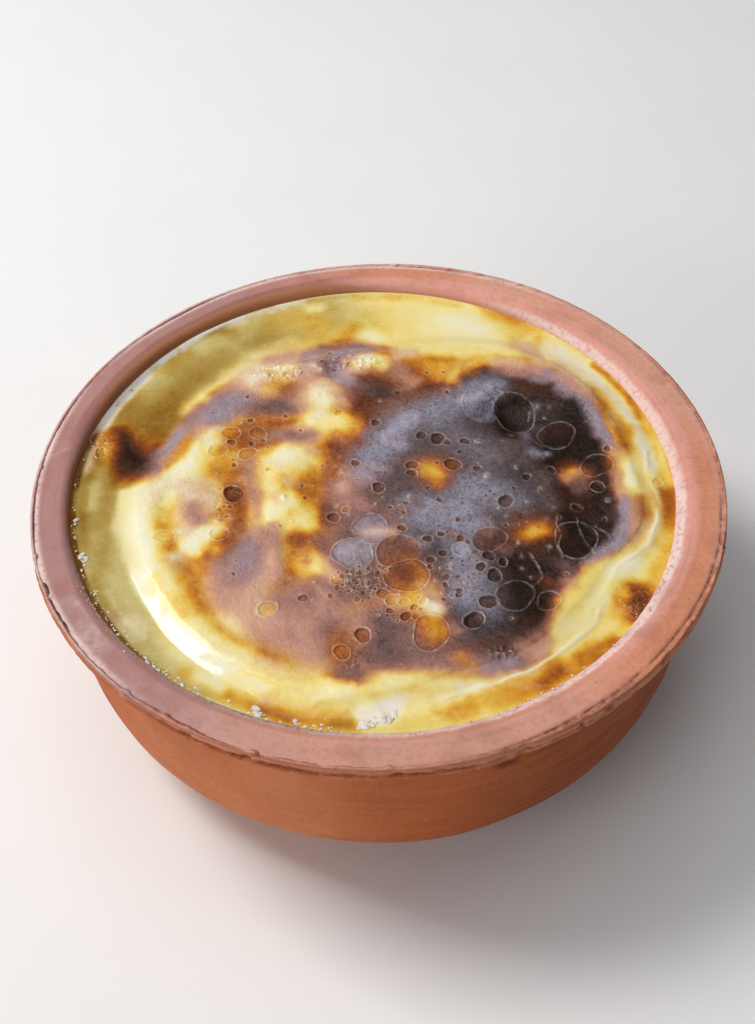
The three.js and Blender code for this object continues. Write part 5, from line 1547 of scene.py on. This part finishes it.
def bowl_piece(material):
    """The clay as rows of four-sided faces round the axis, closed under the foot and inside."""
    clay = Clay()
    ragged = clay.noise(1.7, 74, 2)
    groove = clay_grooves(clay, ragged)
    bump = clay_relief(clay, ragged) - GROOVE_DEPTH * groove
    bump[clay.on("foot")] = 0
    bump[clay.on("inside")] *= 0.2
    points = clay_points(clay, bump)
    index = np.arange(len(points)).reshape(-1, AROUND)
    ahead = np.roll(index, -1, axis=1)
    quads = np.stack([index[:-1], ahead[:-1], ahead[1:], index[1:]], -1).reshape(-1, 4)
    faces = [tuple(q) for q in quads]
    foot_centre, floor_centre = len(points), len(points) + 1
    points = np.vstack([points, [[0, 0, 0], [-INNER_SHIFT, 0, FLOOR_THICKNESS]]])
    faces += [(foot_centre, b, c) for b, c in zip(ahead[0], index[0])]
    faces += [(floor_centre, b, c) for b, c in zip(index[-1], ahead[-1])]
    mottle, fleck = clay.noise(5, 91, 3), clay.noise(0.9, 92, 2)
    fields = {**rim_fields(clay, mottle, fleck, ragged), **milk_fields(clay, mottle, fleck),
              **body_fields(clay, mottle), "groove": groove}
    fields = {name: np.r_[values.ravel(), 0, 0] for name, values in fields.items()}
    return make_piece("clay_bowl", points, faces, material, "bowl", fields)


def rim_fields(clay, mottle, fleck, ragged):
    """Where the rim is trimmed, grey under painted sheen, chipped, thrown in lines, darker inside or
    marked with minerals.
    """
    front_bead = clay.on("bead", "edge") * clay.along("pale bead")
    upper = np.where(clay.on("bead"), smooth((clay.z - UPPER_BEAD_LEVEL) / 0.6),
                     clay.on("face", "edge", "lip", "bead"))
    # A grey-mauve cast over the rim's left, partly the clay's own and partly a painted sky sheen.
    bloom_and_sheen = upper * (0.95 * clay.along("grey bloom") + 0.35 * clay.along("thin bloom"))
    bloom_and_sheen = bloom_and_sheen * (1 - 0.8 * front_bead)
    chips_and_bead_highlight = clay.on("bead", "edge") * smooth(0.2 + 1.0 * ragged + 0.8 * fleck)
    # A painted highlight on the upper part of the bead at the front.
    pale = smooth((clay.z - UPPER_BEAD_LEVEL) / 0.3) * smooth(0.7 + 1.2 * fleck)
    mineral = clay.on("face") * clay.along("mineral spot") * smooth(0.6 + 1.6 * mottle)
    mineral += clay.on("face") * 0.5 * clay.along("faint mineral spot") * smooth(0.4 + 1.6 * mottle)
    slant = 4.0 * (clay.r - 59.5) / 5
    crack = clay.on("face") * bell((np.degrees(clay.a) - 173 - slant - 0.5 * mottle) / 0.22)
    # Darker on the inner part of the face at the back left.
    inner_darkening = clay.on("face", "lip") * smooth((58.5 + 0.5 * mottle - clay.r) / 0.9) * clay.along("worn face")
    thrown = clay.noise(1.0, 93, 2, np.c_[3.0 * clay.circle, clay.r.ravel() / 0.8])
    sag = 1.4 * clay.along("sagging trim")
    trimmed = smooth((clay.z - TRIM_LEVEL + sag + 0.35 * clay.along("low trim")) / 0.7)
    return {
        "face": trimmed * clay.on("face", "edge", "lip", "bead"),
        "bloom_and_sheen": np.clip(bloom_and_sheen, 0, 1),
        "chips_and_bead_highlight": np.maximum(chips_and_bead_highlight, front_bead * pale),
        "mineral": np.clip(mineral + 0.9 * crack, 0, 1),
        "thrown": clay.on("face", "lip") * smooth(1.6 * thrown - 0.1),
        "inner_darkening": inner_darkening,
    }


def milk_fields(clay, mottle, fleck):
    """Where milk has dried on the rim, blushed it, crusted or soaked it, and a painted highlight on its
    outer edge.
    """
    inner, face = clay.on("face", "lip"), clay.on("face", "edge")
    reach = INNER_EDGE + 1.25 + 0.45 * clay.along("wide crust") + 0.35 * clay.along("widest crust")
    crusted = smooth((reach + 0.3 * mottle + 0.25 * fleck - clay.r) / 0.7)
    milk_and_edge_light = inner * crusted * (0.8 * clay.along("milk, right") + 0.95 * clay.along("milk, front"))
    # A painted highlight along the rim's outer edge, at the back, the left and the right.
    outer = 0.9 * clay.along("edge highlight, back") + 0.9 * clay.along("edge highlight, left")
    outer += 0.3 * clay.along("edge highlight, right")
    milk_and_edge_light += face * smooth((clay.r - 60.1) / 0.8) * outer
    milk_and_edge_light += 0.22 * clay.on("face") * clay.along("milky face, right")
    milk_and_edge_light += 0.20 * face * clay.along("milky face, front")
    blush = inner * smooth((58.0 + 0.3 * mottle - clay.r) / 0.9)
    blush = blush * (clay.along("blush") + 0.3 * clay.along("faint blush"))
    soaked = INNER_EDGE + 1.1 + 1.5 * clay.along("deep soak") + 0.35 * mottle + 0.25 * fleck
    damp = inner * smooth((soaked - clay.r) / 0.5)
    damp = damp * (0.95 * clay.along("soaked") + 0.4 * clay.along("half soaked"))
    lip_depth = np.where(clay.on("lip"), (HEIGHT - clay.z) / LIP_ROUND, 0)
    damp += clay.on("lip") * smooth((lip_depth - 0.3) / 0.2) * 0.5 * clay.along("damp lip")
    return {
        "milk_and_edge_light": np.clip(milk_and_edge_light, 0, 1),
        "blush": np.clip(blush, 0, 1),
        "crust": inner * crusted * 0.9 * clay.along("dark crust"),
        "damp": np.clip(damp, 0, 1),
    }


def body_fields(clay, mottle):
    """The dark stain at the front of the wall, and painted light and painted shade on its two front sides.
    """
    across = ((np.degrees(clay.a) - 289) * 1.02 + 0.3 * mottle) / 2.7
    stain = clay.on("body", "step") * bell(np.hypot(across, (clay.z - 36.0 + 0.3 * mottle) / 2.4))
    # Painted light on the wall's front left, and painted shade on its front right.
    painted_light = clay.on("body", "step") * clay.along("dusty wall") * (0.85 + 0.5 * mottle)
    painted_shade = clay.on("body", "step") * clay.along("smoked wall") * (0.85 + 0.4 * mottle)
    return {
        "stain": smooth(stain * 2.4 - 0.6),
        "painted_light": np.clip(painted_light, 0, 1),
        "painted_shade": np.clip(painted_shade, 0, 1),
    }


# ---------------------------------------------------------------- froth and crumbs

# Beads of froth along the shore: first and last angle, count and size.
BEADS = [
    (150, 178, 14, 0.15), (178, 214, 36, 0.16), (214, 262, 40, 0.19), (262, 300, 24, 0.12),
    (60, 120, 8, 0.12), (300, 345, 12, 0.11),
]
# Heaps of white flakes: x, y, spread along and across, turn, count and size.
FLAKES = [
    (-51.9, -16.4, 0.25, 0.8, 0.3, 12, 0.75), (-54.1, -7.6, 0.3, 0.5, 0.1, 7, 0.45),
    (-48.6, -24.3, 0.15, 0.6, 0.35, 6, 0.35), (-20.1, -49.2, 0.2, 0.6, 0.2, 12, 0.7),
    (-13.9, -51.4, 0.25, 0.4, 0.6, 7, 0.4), (-38.4, -38.8, 0.5, 0.3, -0.8, 6, 0.4),
    (-36.8, -40.4, 0.4, 0.2, -0.8, 5, 0.35), (-2.9, -52.2, 0.8, 0.25, 0.35, 14, 0.65),
    (-0.4, -51.6, 0.9, 0.25, 0.2, 12, 0.6), (0.9, -50.6, 0.8, 0.3, 0.3, 14, 0.5),
    (-29.8, -44.6, 0.5, 0.2, -0.6, 6, 0.3), (-53.6, -11.8, 0.12, 0.4, 0.2, 5, 0.28),
]
BEAD_FLATNESS, FLAKE_FLATNESS = 0.4, 0.13


def finer_ball(verts, triangles):
    """Split each triangle of a ball in four, with the new corners on the ball too."""
    halves, finer = {}, []
    for i, j, k in triangles:
        mids = []
        for p, q in ((i, j), (j, k), (k, i)):
            key = (min(p, q), max(p, q))
            if key not in halves:
                halves[key] = len(verts)
                verts.append(((verts[p] + verts[q]) / 2).normalized())
            mids.append(halves[key])
        finer += [(i, mids[0], mids[2]), (j, mids[1], mids[0]), (k, mids[2], mids[1]), tuple(mids)]
    return np.array([tuple(v) for v in verts]), np.array(finer)


def round_ball():
    """Corners and triangles of an icosahedron whose faces are split in four."""
    g = (1 + math.sqrt(5)) / 2
    corners = [
        (-1, g, 0), (1, g, 0), (-1, -g, 0), (1, -g, 0), (0, -1, g), (0, 1, g),
        (0, -1, -g), (0, 1, -g), (g, 0, -1), (g, 0, 1), (-g, 0, -1), (-g, 0, 1),
    ]
    triangles = [
        (0, 11, 5), (0, 5, 1), (0, 1, 7), (0, 7, 10), (0, 10, 11), (1, 5, 9), (5, 11, 4), (11, 10, 2),
        (10, 7, 6), (7, 1, 8), (3, 9, 4), (3, 4, 2), (3, 2, 6), (3, 6, 8), (3, 8, 9), (4, 9, 5),
        (2, 4, 11), (6, 2, 10), (8, 6, 7), (9, 8, 1),
    ]
    return finer_ball([Vector(c).normalized() for c in corners], triangles)


def blob_cloud(name, blobs, material, seed, ragged):
    """Many small uneven lumps joined in one piece: x, y, z, half sizes and turn of each."""
    rng = np.random.default_rng(seed)
    ball, triangles = round_ball()
    points, faces = [], []
    for count, (x, y, z, a, b, c, turn) in enumerate(blobs):
        uneven = 1 + ragged * noise(ball * 2 + rng.uniform(-50, 50, 3), 1.1, 97)
        along, across, up = (ball * uneven[:, None] * (a, b, c)).T
        cos, sin = math.cos(turn), math.sin(turn)
        points.append(np.c_[x + along * cos - across * sin, y + along * sin + across * cos, z + up])
        faces.append(triangles + count * len(ball))
    return make_piece(name, np.vstack(points), np.vstack(faces), material)


def on_shore(radius, angle):
    """x and y at a radius and angle about the middle of the hollow."""
    return radius * math.cos(angle) - INNER_SHIFT, radius * math.sin(angle)


def froth_beads(rng):
    """Beads along the line where the milk meets the clay, and others strewn on the front left."""
    rows = []
    for start, end, count, size in BEADS:
        for _ in range(count):
            angle = math.radians(rng.uniform(start, end))
            x, y = on_shore(INNER_EDGE - 0.05 - abs(rng.normal(0, 0.28)), angle)
            a = size * (0.5 + 1.1 * rng.random() ** 2)
            b = a * rng.uniform(0.7, 2.0)
            rows.append((x, y, a, b, min(a, b) * BEAD_FLATNESS, rng.uniform(0, 3)))
    for _ in range(46):
        angle = math.radians(rng.uniform(206, 264))
        size = rng.uniform(0.10, 0.26)
        x, y = on_shore(INNER_EDGE - 0.3 - abs(rng.normal(0, 0.9)), angle)
        rows.append((x, y, size, size, size * BEAD_FLATNESS, 0))
    return rows


def froth_flakes(rng):
    """Flat white flakes in small heaps."""
    rows = []
    for cx, cy, spread_x, spread_y, turn, count, size in FLAKES:
        cos, sin = math.cos(turn), math.sin(turn)
        for _ in range(count):
            u, v = rng.normal(0, spread_x), rng.normal(0, spread_y)
            x, y = cx + u * cos - v * sin, cy + u * sin + v * cos
            a = size * rng.uniform(0.5, 1.2)
            b = a * rng.uniform(0.4, 0.8)
            rows.append((x, y, a, b, a * FLAKE_FLATNESS, turn + rng.normal(0, 0.5)))
    return rows


def foam_piece(material):
    """Beads and flakes of dried froth, each lying on the skin."""
    rng = np.random.default_rng(21)
    rows = froth_beads(rng) + froth_flakes(rng)
    x, y = np.array([row[:2] for row in rows]).T.copy()
    heights = FILL_LEVEL + skin_height(x, y)
    blobs = [(*row[:2], z, *row[2:]) for row, z in zip(rows, heights)]
    return blob_cloud("dried_froth", blobs, material, 22, 0.5)


def crust_piece(material):
    """The rough line of dried milk along the clay at the front and the right."""
    rng = np.random.default_rng(23)
    rows = []
    for start, end, count in ((204, 262, 110), (262, 345, 26)):
        for angle in np.radians(rng.uniform(start, end, count)):
            out = INNER_EDGE + 0.55 + abs(rng.normal(0, 0.45))
            a = rng.uniform(0.09, 0.24)
            share = min(1.0, (out - INNER_RADIUS) / (FACE_INNER_RADIUS - INNER_RADIUS))
            z = min(LIP_BOTTOM + LIP_ROUND * math.sqrt(1 - (1 - share) ** 2), HEIGHT - 0.15)
            long = a * rng.uniform(1.0, 1.8)
            rows.append((*on_shore(out, angle), z, long, a, 0.28 * a, angle + math.pi / 2))
    return blob_cloud("milk_crust", rows, material, 24, 0.22)


# ---------------------------------------------------------------- materials

def tint(red, green, blue):
    """A screen colour, 0 to 255, as the linear colour that a shader takes."""
    screen = np.array([red, green, blue]) / 255
    linear = np.where(screen <= 0.04045, screen / 12.92, ((screen + 0.055) / 1.055) ** 2.4)
    return (*(float(v) for v in linear), 1.0)


class Shader:
    """Builds one material's nodes. An input may be a number, a colour or another node's output."""

    def __init__(self, name):
        self.material = bpy.data.materials.new(name)
        self.material.use_nodes = True
        self.tree = self.material.node_tree
        self.surface = self.tree.nodes["Principled BSDF"]
        self.coords = self.add("ShaderNodeTexCoord").outputs["Object"]

    def feed(self, node, inputs):
        for key, value in inputs.items():
            socket = node.inputs[key]
            if isinstance(value, bpy.types.NodeSocket):
                self.tree.links.new(value, socket)
            else:
                socket.default_value = value
        return node

    def finish(self, **inputs):
        """Feed the surface, whose inputs are written with _ for a space, and give the material."""
        self.feed(self.surface, {key.replace("_", " "): value for key, value in inputs.items()})
        return self.material

    def add(self, kind, inputs=None, **settings):
        node = self.tree.nodes.new(kind)
        for key, value in settings.items():
            setattr(node, key, value)
        return self.feed(node, inputs or {})

    def field(self, name):
        return self.add("ShaderNodeAttribute", attribute_name=name).outputs["Fac"]

    def noise(self, size_mm, detail=2.0, stretch=None, roughness=0.5):
        """Noise from 0 to 1 with features of a size in mm, about 0.5 on average."""
        vector = self.coords
        if stretch:
            vector = self.add("ShaderNodeMapping", {"Vector": vector, "Scale": stretch}).outputs[0]
        inputs = {"Vector": vector, "Scale": 1 / (size_mm * MM), "Detail": detail, "Roughness": roughness}
        return self.add("ShaderNodeTexNoise", inputs).outputs[0]

    def math(self, operation, a, b=0.0, c=0.0):
        return self.add("ShaderNodeMath", {0: a, 1: b, 2: c}, operation=operation).outputs[0]

    def times(self, a, b):
        return self.math("MULTIPLY", a, b)

    def waver(self, value, noise, amount):
        """A value moved up and down by noise, by half the amount at most."""
        return self.math("MULTIPLY_ADD", noise, amount, self.math("SUBTRACT", value, amount / 2))

    def span(self, value, low, high, to_low=0.0, to_high=1.0):
        """A value stretched from one range to another, and held inside it."""
        inputs = {"Value": value, "From Min": low, "From Max": high, "To Min": to_low, "To Max": to_high}
        return self.add("ShaderNodeMapRange", inputs).outputs[0]

    def mix(self, factor, a, b):
        node = self.add("ShaderNodeMix", data_type="RGBA")
        for index, value in ((0, factor), (6, a), (7, b)):
            self.feed(node, {index: value})
        return node.outputs[2]

    def over(self, base, name, strength, color):
        """A colour laid over a base where the mesh's field says so."""
        return self.mix(self.times(self.field(name), strength), base, color)

    def ramp(self, value, stops):
        node = self.add("ShaderNodeValToRGB", {"Fac": value})
        elements = node.color_ramp.elements
        while len(elements) < len(stops):
            elements.new(0.5)
        for element, (place, color) in zip(elements, stops):
            element.position = place
            element.color = color
        return node.outputs[0]

    def bump(self, height, distance_mm, strength, normal=None):
        inputs = {"Height": height, "Distance": distance_mm * MM, "Strength": strength}
        if normal is not None:
            inputs["Normal"] = normal
        return self.add("ShaderNodeBump", inputs).outputs[0]


MOIST = [  # milk as it browns while wet
    (0.00, tint(244, 239, 210)), (0.10, tint(248, 233, 168)), (0.20, tint(244, 219, 128)),
    (0.30, tint(234, 190, 78)), (0.40, tint(220, 154, 46)), (0.50, tint(192, 114, 30)),
    (0.60, tint(152, 78, 26)), (0.76, tint(94, 50, 26)), (0.97, tint(34, 20, 10)),
]
# The mauve and grey of the browned dry skin are partly a painted sky sheen.
DRIED = [  # milk skin as it browns when dry
    (0.06, tint(240, 228, 198)), (0.20, tint(222, 180, 148)), (0.34, tint(204, 152, 132)),
    (0.47, tint(170, 124, 112)), (0.61, tint(130, 95, 88)), (0.76, tint(94, 80, 80)),
    (0.90, tint(54, 38, 34)), (1.00, tint(30, 20, 15)),
]
WHEY = [  # the clear whey over it
    (0.10, tint(208, 194, 136)), (0.26, tint(174, 148, 78)), (0.50, tint(138, 98, 20)),
    (0.70, tint(110, 60, 12)), (0.95, tint(48, 24, 12)),
]


def skin_color(s, fine, leather):
    """The browned milk, with whey and a painted sheen over it, painted highlights, and the char's fine
    marks.
    """
    broad, speck = s.noise(3.2, 3), s.noise(0.32, 2)
    painted = s.field("browning")
    uneven = s.math("MULTIPLY_ADD", broad, 0.16, -0.08)
    uneven = s.waver(uneven, fine, 0.14)
    browning = s.math("ADD", painted, s.times(uneven, s.span(painted, 0.0, 0.5, 0.6, 1.1)))
    color = s.mix(s.field("skin"), s.ramp(browning, MOIST), s.ramp(browning, DRIED))
    color = s.over(color, "whey", 0.92, s.ramp(browning, WHEY))

    # The haze: a painted sheen of light on the glossy skin, partly the milk's own pale cast.
    sheen_share = s.times(s.field("haze"), s.span(s.noise(2.0, 4), 0.28, 0.66, 0.45, 1.0))
    sheen_color = s.mix(s.span(browning, 0.12, 0.40), tint(246, 234, 246), tint(174, 180, 204))
    color = s.mix(s.times(sheen_share, 0.85), color, sheen_color)
    grit = s.times(s.span(speck, 0.62, 0.72), s.span(painted, 0.35, 0.75))
    color = s.mix(s.times(grit, 0.35), color, tint(40, 28, 26))

    scorched = s.span(painted, 0.40, 0.62)
    # Painted shade in the low places of the scorched skin's wrinkles, with dark cracks; painted highlights
    # on their tops.
    cracks_and_low_shade = s.times(s.span(leather, 0.48, 0.36), scorched)
    color = s.mix(cracks_and_low_shade, color, s.mix(0.42, color, tint(24, 18, 20)))
    greyed = s.times(scorched, s.span(s.field("haze"), 0.05, 0.55, 0.10, 1.0))
    lit_tops = s.times(s.span(leather, 0.52, 0.70), greyed)
    color = s.mix(lit_tops, color, s.mix(0.26, color, tint(196, 198, 208)))

    # Painted highlights on bubble edges, crease tops and crumb walls.
    edge = s.times(s.field("rim_highlights"), s.span(s.noise(0.9, 2), 0.40, 0.62, 0.15, 0.85))
    rim_highlight_color = s.mix(s.span(browning, 0.3, 0.9), tint(240, 216, 170), tint(186, 172, 162))
    color = s.mix(edge, color, rim_highlight_color)
    glint = s.times(s.span(s.noise(0.22, 1), 0.77, 0.82), s.span(painted, 0.3, 0.6, 0.0, 0.25))
    return s.mix(glint, color, tint(206, 196, 190))


def pudding_material():
    """Baked milk skin: wrinkled and dull where dry, smooth and shiny where wet."""
    s = Shader("baked_milk_skin")
    fine, leather = s.noise(0.9, 3), s.noise(0.6, 4, roughness=0.65)
    wet = s.field("wet")
    dry = s.span(wet, 0.0, 0.8, 1.0, 0.1)
    wrinkle = s.bump(s.times(leather, dry), 0.20, 0.8)
    wrinkle = s.bump(s.times(s.noise(1.3, 3), dry), 0.34, 0.8, wrinkle)
    return s.finish(
        Base_Color=skin_color(s, fine, leather), Normal=wrinkle, IOR=1.42, Specular_IOR_Level=0.18,
        Roughness=s.waver(s.span(wet, 0.0, 1.0, 0.34, 0.16), fine, 0.12),
        Subsurface_Weight=0.22, Subsurface_Radius=(1.0, 0.55, 0.25), Subsurface_Scale=0.0022,
        Coat_Weight=s.span(wet, 0.0, 1.0, 0.12, 0.42), Coat_Roughness=0.07,
    )


def froth_material():
    """White dried froth, a little yellow in places."""
    s = Shader("dried_froth")
    return s.finish(
        Base_Color=s.mix(s.span(s.noise(0.8, 2), 0.4, 0.65), tint(255, 252, 244), tint(238, 222, 192)),
        Roughness=0.30, Normal=s.bump(s.noise(0.25, 2), 0.03, 0.5),
        Subsurface_Weight=0.2, Subsurface_Radius=(1.0, 0.6, 0.3), Subsurface_Scale=0.001,
    )


def crust_material():
    """Pinkish crumbs of dried milk."""
    s = Shader("dried_milk_crust")
    return s.finish(
        Base_Color=s.mix(s.span(s.noise(0.9, 2), 0.38, 0.62), tint(232, 208, 190), tint(204, 160, 138)),
        Roughness=0.5, Normal=s.bump(s.noise(0.2, 2), 0.03, 0.6),
    )


def clay_color(s, lines):
    """Fired clay under its grey cast and painted sheen, its milk, its stains and its scratches, in that
    order.
    """
    cloud, grain, grit = s.noise(14, 3), s.noise(0.9, 4), s.noise(0.28, 2)
    specks = s.span(s.noise(0.8, 3), 0.50, 0.70)
    clay = s.mix(cloud, tint(190, 100, 50), tint(156, 76, 32))
    # Painted light on the wall's front left, and painted shade on its front right.
    clay = s.over(clay, "painted_light", 0.48, s.mix(grain, tint(232, 142, 92), tint(216, 146, 108)))
    clay = s.over(clay, "painted_shade", 0.48, tint(104, 36, 14))
    clay = s.over(clay, "face", 0.9, s.mix(cloud, tint(230, 158, 128), tint(218, 146, 114)))
    clay = s.mix(s.span(lines, 0.35, 0.7, 0.0, 0.24), clay, tint(206, 130, 84))
    clay = s.mix(s.span(grain, 0.5, 0.75, 0.0, 0.30), clay, tint(150, 84, 62))
    # Grey-mauve over the rim's left, partly the clay's own cast and partly a painted sky sheen.
    clay = s.over(clay, "bloom_and_sheen", 0.8, s.mix(grain, tint(158, 122, 124), tint(174, 138, 140)))
    clay = s.over(clay, "blush", 0.75, s.mix(grain, tint(234, 172, 160), tint(218, 152, 138)))
    # Dried milk on the rim, and a painted highlight along its outer edge.
    clay = s.over(clay, "milk_and_edge_light", 0.85, s.mix(specks, tint(236, 212, 206), tint(208, 164, 156)))
    clay = s.over(clay, "thrown", 0.22, tint(140, 84, 66))
    patchy = s.times(s.span(s.noise(6, 4), 0.48, 0.66), s.field("face"))
    clay = s.mix(s.times(patchy, 0.30), clay, tint(158, 96, 84))
    # Darker on the inner part of the face at the back left.
    clay = s.over(clay, "inner_darkening", 0.6, tint(142, 84, 72))
    clay = s.over(clay, "damp", 0.92, s.mix(cloud, tint(188, 122, 80), tint(152, 100, 64)))
    clay = s.over(clay, "crust", 0.9, s.mix(specks, tint(176, 146, 144), tint(112, 88, 90)))
    clay = s.over(clay, "stain", 0.85, tint(112, 44, 22))
    # Pale chips, and a painted highlight on the upper part of the bead at the front.
    clay = s.over(clay, "chips_and_bead_highlight", 0.45, tint(214, 138, 108))
    clay = s.over(clay, "mineral", s.span(s.noise(1.8, 4), 0.3, 0.7, 0.1, 0.75), tint(212, 182, 178))
    # The grooves are darkened in colour as well as cut in: painted shade, and a painted shadow under the
    # front bead.
    clay = s.over(clay, "groove", s.span(s.noise(0.8, 2), 0.35, 0.60, 0.45, 0.95), tint(98, 42, 28))
    clay = s.mix(s.span(grit, 0.66, 0.72, 0.0, 0.5), clay, tint(226, 176, 150))
    bare = s.span(s.field("milk_and_edge_light"), 0.1, 0.5, 1.0, 0.15)
    pits = s.times(s.span(s.noise(0.5, 1), 0.74, 0.78, 0.0, 0.6), bare)
    return s.mix(pits, clay, tint(92, 50, 36))


def clay_material():
    """Dull clay with turning lines, smoother where milk has soaked it."""
    s = Shader("fired_clay")
    lines = s.noise(1.1, 3, stretch=(0.06, 0.06, 1.0))
    return s.finish(
        Base_Color=clay_color(s, lines), Roughness=s.span(s.field("damp"), 0.0, 1.0, 0.82, 0.45),
        Normal=s.bump(lines, 0.12, 0.5, s.bump(s.noise(0.35, 3), 0.06, 0.7)), Specular_IOR_Level=0.25,
    )


def floor_material():
    """Nearly white paper under the bowl."""
    s = Shader("studio_floor")
    return s.finish(
        Base_Color=s.mix(s.noise(40, 3), tint(246, 246, 245), tint(240, 240, 240)),
        Roughness=0.75, Normal=s.bump(s.noise(3, 2), 0.02, 0.3),
    )


# ---------------------------------------------------------------- camera, lights, floor

ELEVATION, PITCH, YAW, ROLL = (math.radians(degrees) for degrees in (45.843, 1.767, -0.036, -1.806))
CAMERA_DISTANCE = 3.796 * RIM_RADIUS
LENS, SENSOR_WIDTH = 45.7, 36.0
FLOOR_HALF = 3.0  # in metres

# Soft lights: azimuth and elevation, distance and side in metres, power and colour.
LIGHTS = {
    "window": (157, 52, 0.9, (0.32, 0.32), 5.6, (1.0, 0.98, 0.95)),
    "ceiling": (120, 82, 1.3, (0.9, 0.9), 3.6, (0.97, 0.98, 1.0)),
    "left_wall": (217, 17, 1.1, (0.7, 0.5), 4.3, (0.99, 0.98, 0.98)),
}
SKY_COLOR, SKY_POWER = (0.93, 0.95, 1.0, 1.0), 0.15


def camera():
    """Looks down on the bowl from the front, turned and pitched a little."""
    data = bpy.data.cameras.new("view")
    data.lens, data.sensor_width = LENS, SENSOR_WIDTH
    data.clip_start, data.clip_end = 0.01, 10
    seen = bpy.data.objects.new("view", data)
    bpy.context.scene.collection.objects.link(seen)
    look = ELEVATION + PITCH
    forward = Vector((0, math.cos(look), -math.sin(look)))
    up, right = Vector((0, math.sin(look), math.cos(look))), Vector((1, 0, 0))
    forward, right = (forward * math.cos(YAW) + right * math.sin(YAW),
                      right * math.cos(YAW) - forward * math.sin(YAW))
    right, up = right * math.cos(ROLL) + up * math.sin(ROLL), up * math.cos(ROLL) - right * math.sin(ROLL)
    away = Vector((0, -math.cos(ELEVATION), math.sin(ELEVATION)))
    place = away * CAMERA_DISTANCE + Vector((0, 0, HEIGHT))
    turn = Matrix((right, up, -forward)).transposed().to_4x4()
    seen.matrix_world = Matrix.Translation(place * MM) @ turn
    bpy.context.scene.camera = seen


def area_light(name, azimuth, elevation, distance, size, power, color):
    """A soft light that faces the bowl."""
    data = bpy.data.lights.new(name, "AREA")
    data.shape, data.size, data.size_y = "RECTANGLE", size[0], size[1]
    data.energy, data.color = power, color
    lamp = bpy.data.objects.new(name, data)
    bpy.context.scene.collection.objects.link(lamp)
    a, e = math.radians(azimuth), math.radians(elevation)
    direction = Vector((math.cos(e) * math.cos(a), math.cos(e) * math.sin(a), math.sin(e)))
    lamp.location = direction * distance + Vector((0, 0, HEIGHT * MM))
    lamp.rotation_euler = direction.to_track_quat("Z", "Y").to_euler()


def lights():
    """Three soft lights and a faint even sky."""
    for name, values in LIGHTS.items():
        area_light(name, *values)
    world = bpy.data.worlds.new("studio")
    world.use_nodes = True
    sky = world.node_tree.nodes["Background"]
    sky.inputs[0].default_value = SKY_COLOR
    sky.inputs[1].default_value = SKY_POWER
    bpy.context.scene.world = world
    bpy.context.scene.view_settings.view_transform = "Standard"


def floor():
    """A wide plain floor, which isn't part of the object."""
    corners = [(x * FLOOR_HALF, y * FLOOR_HALF, 0) for x, y in ((-1, -1), (1, -1), (1, 1), (-1, 1))]
    mesh = bpy.data.meshes.new("floor")
    mesh.from_pydata(corners, [], [(0, 1, 2, 3)])
    mesh.materials.append(floor_material())
    ground = bpy.data.objects.new("floor", mesh)
    bpy.context.scene.collection.objects.link(ground)


camera()
lights()
floor()
bowl_piece(clay_material())
pudding_piece(pudding_material())
foam_piece(froth_material())
crust_piece(crust_material())
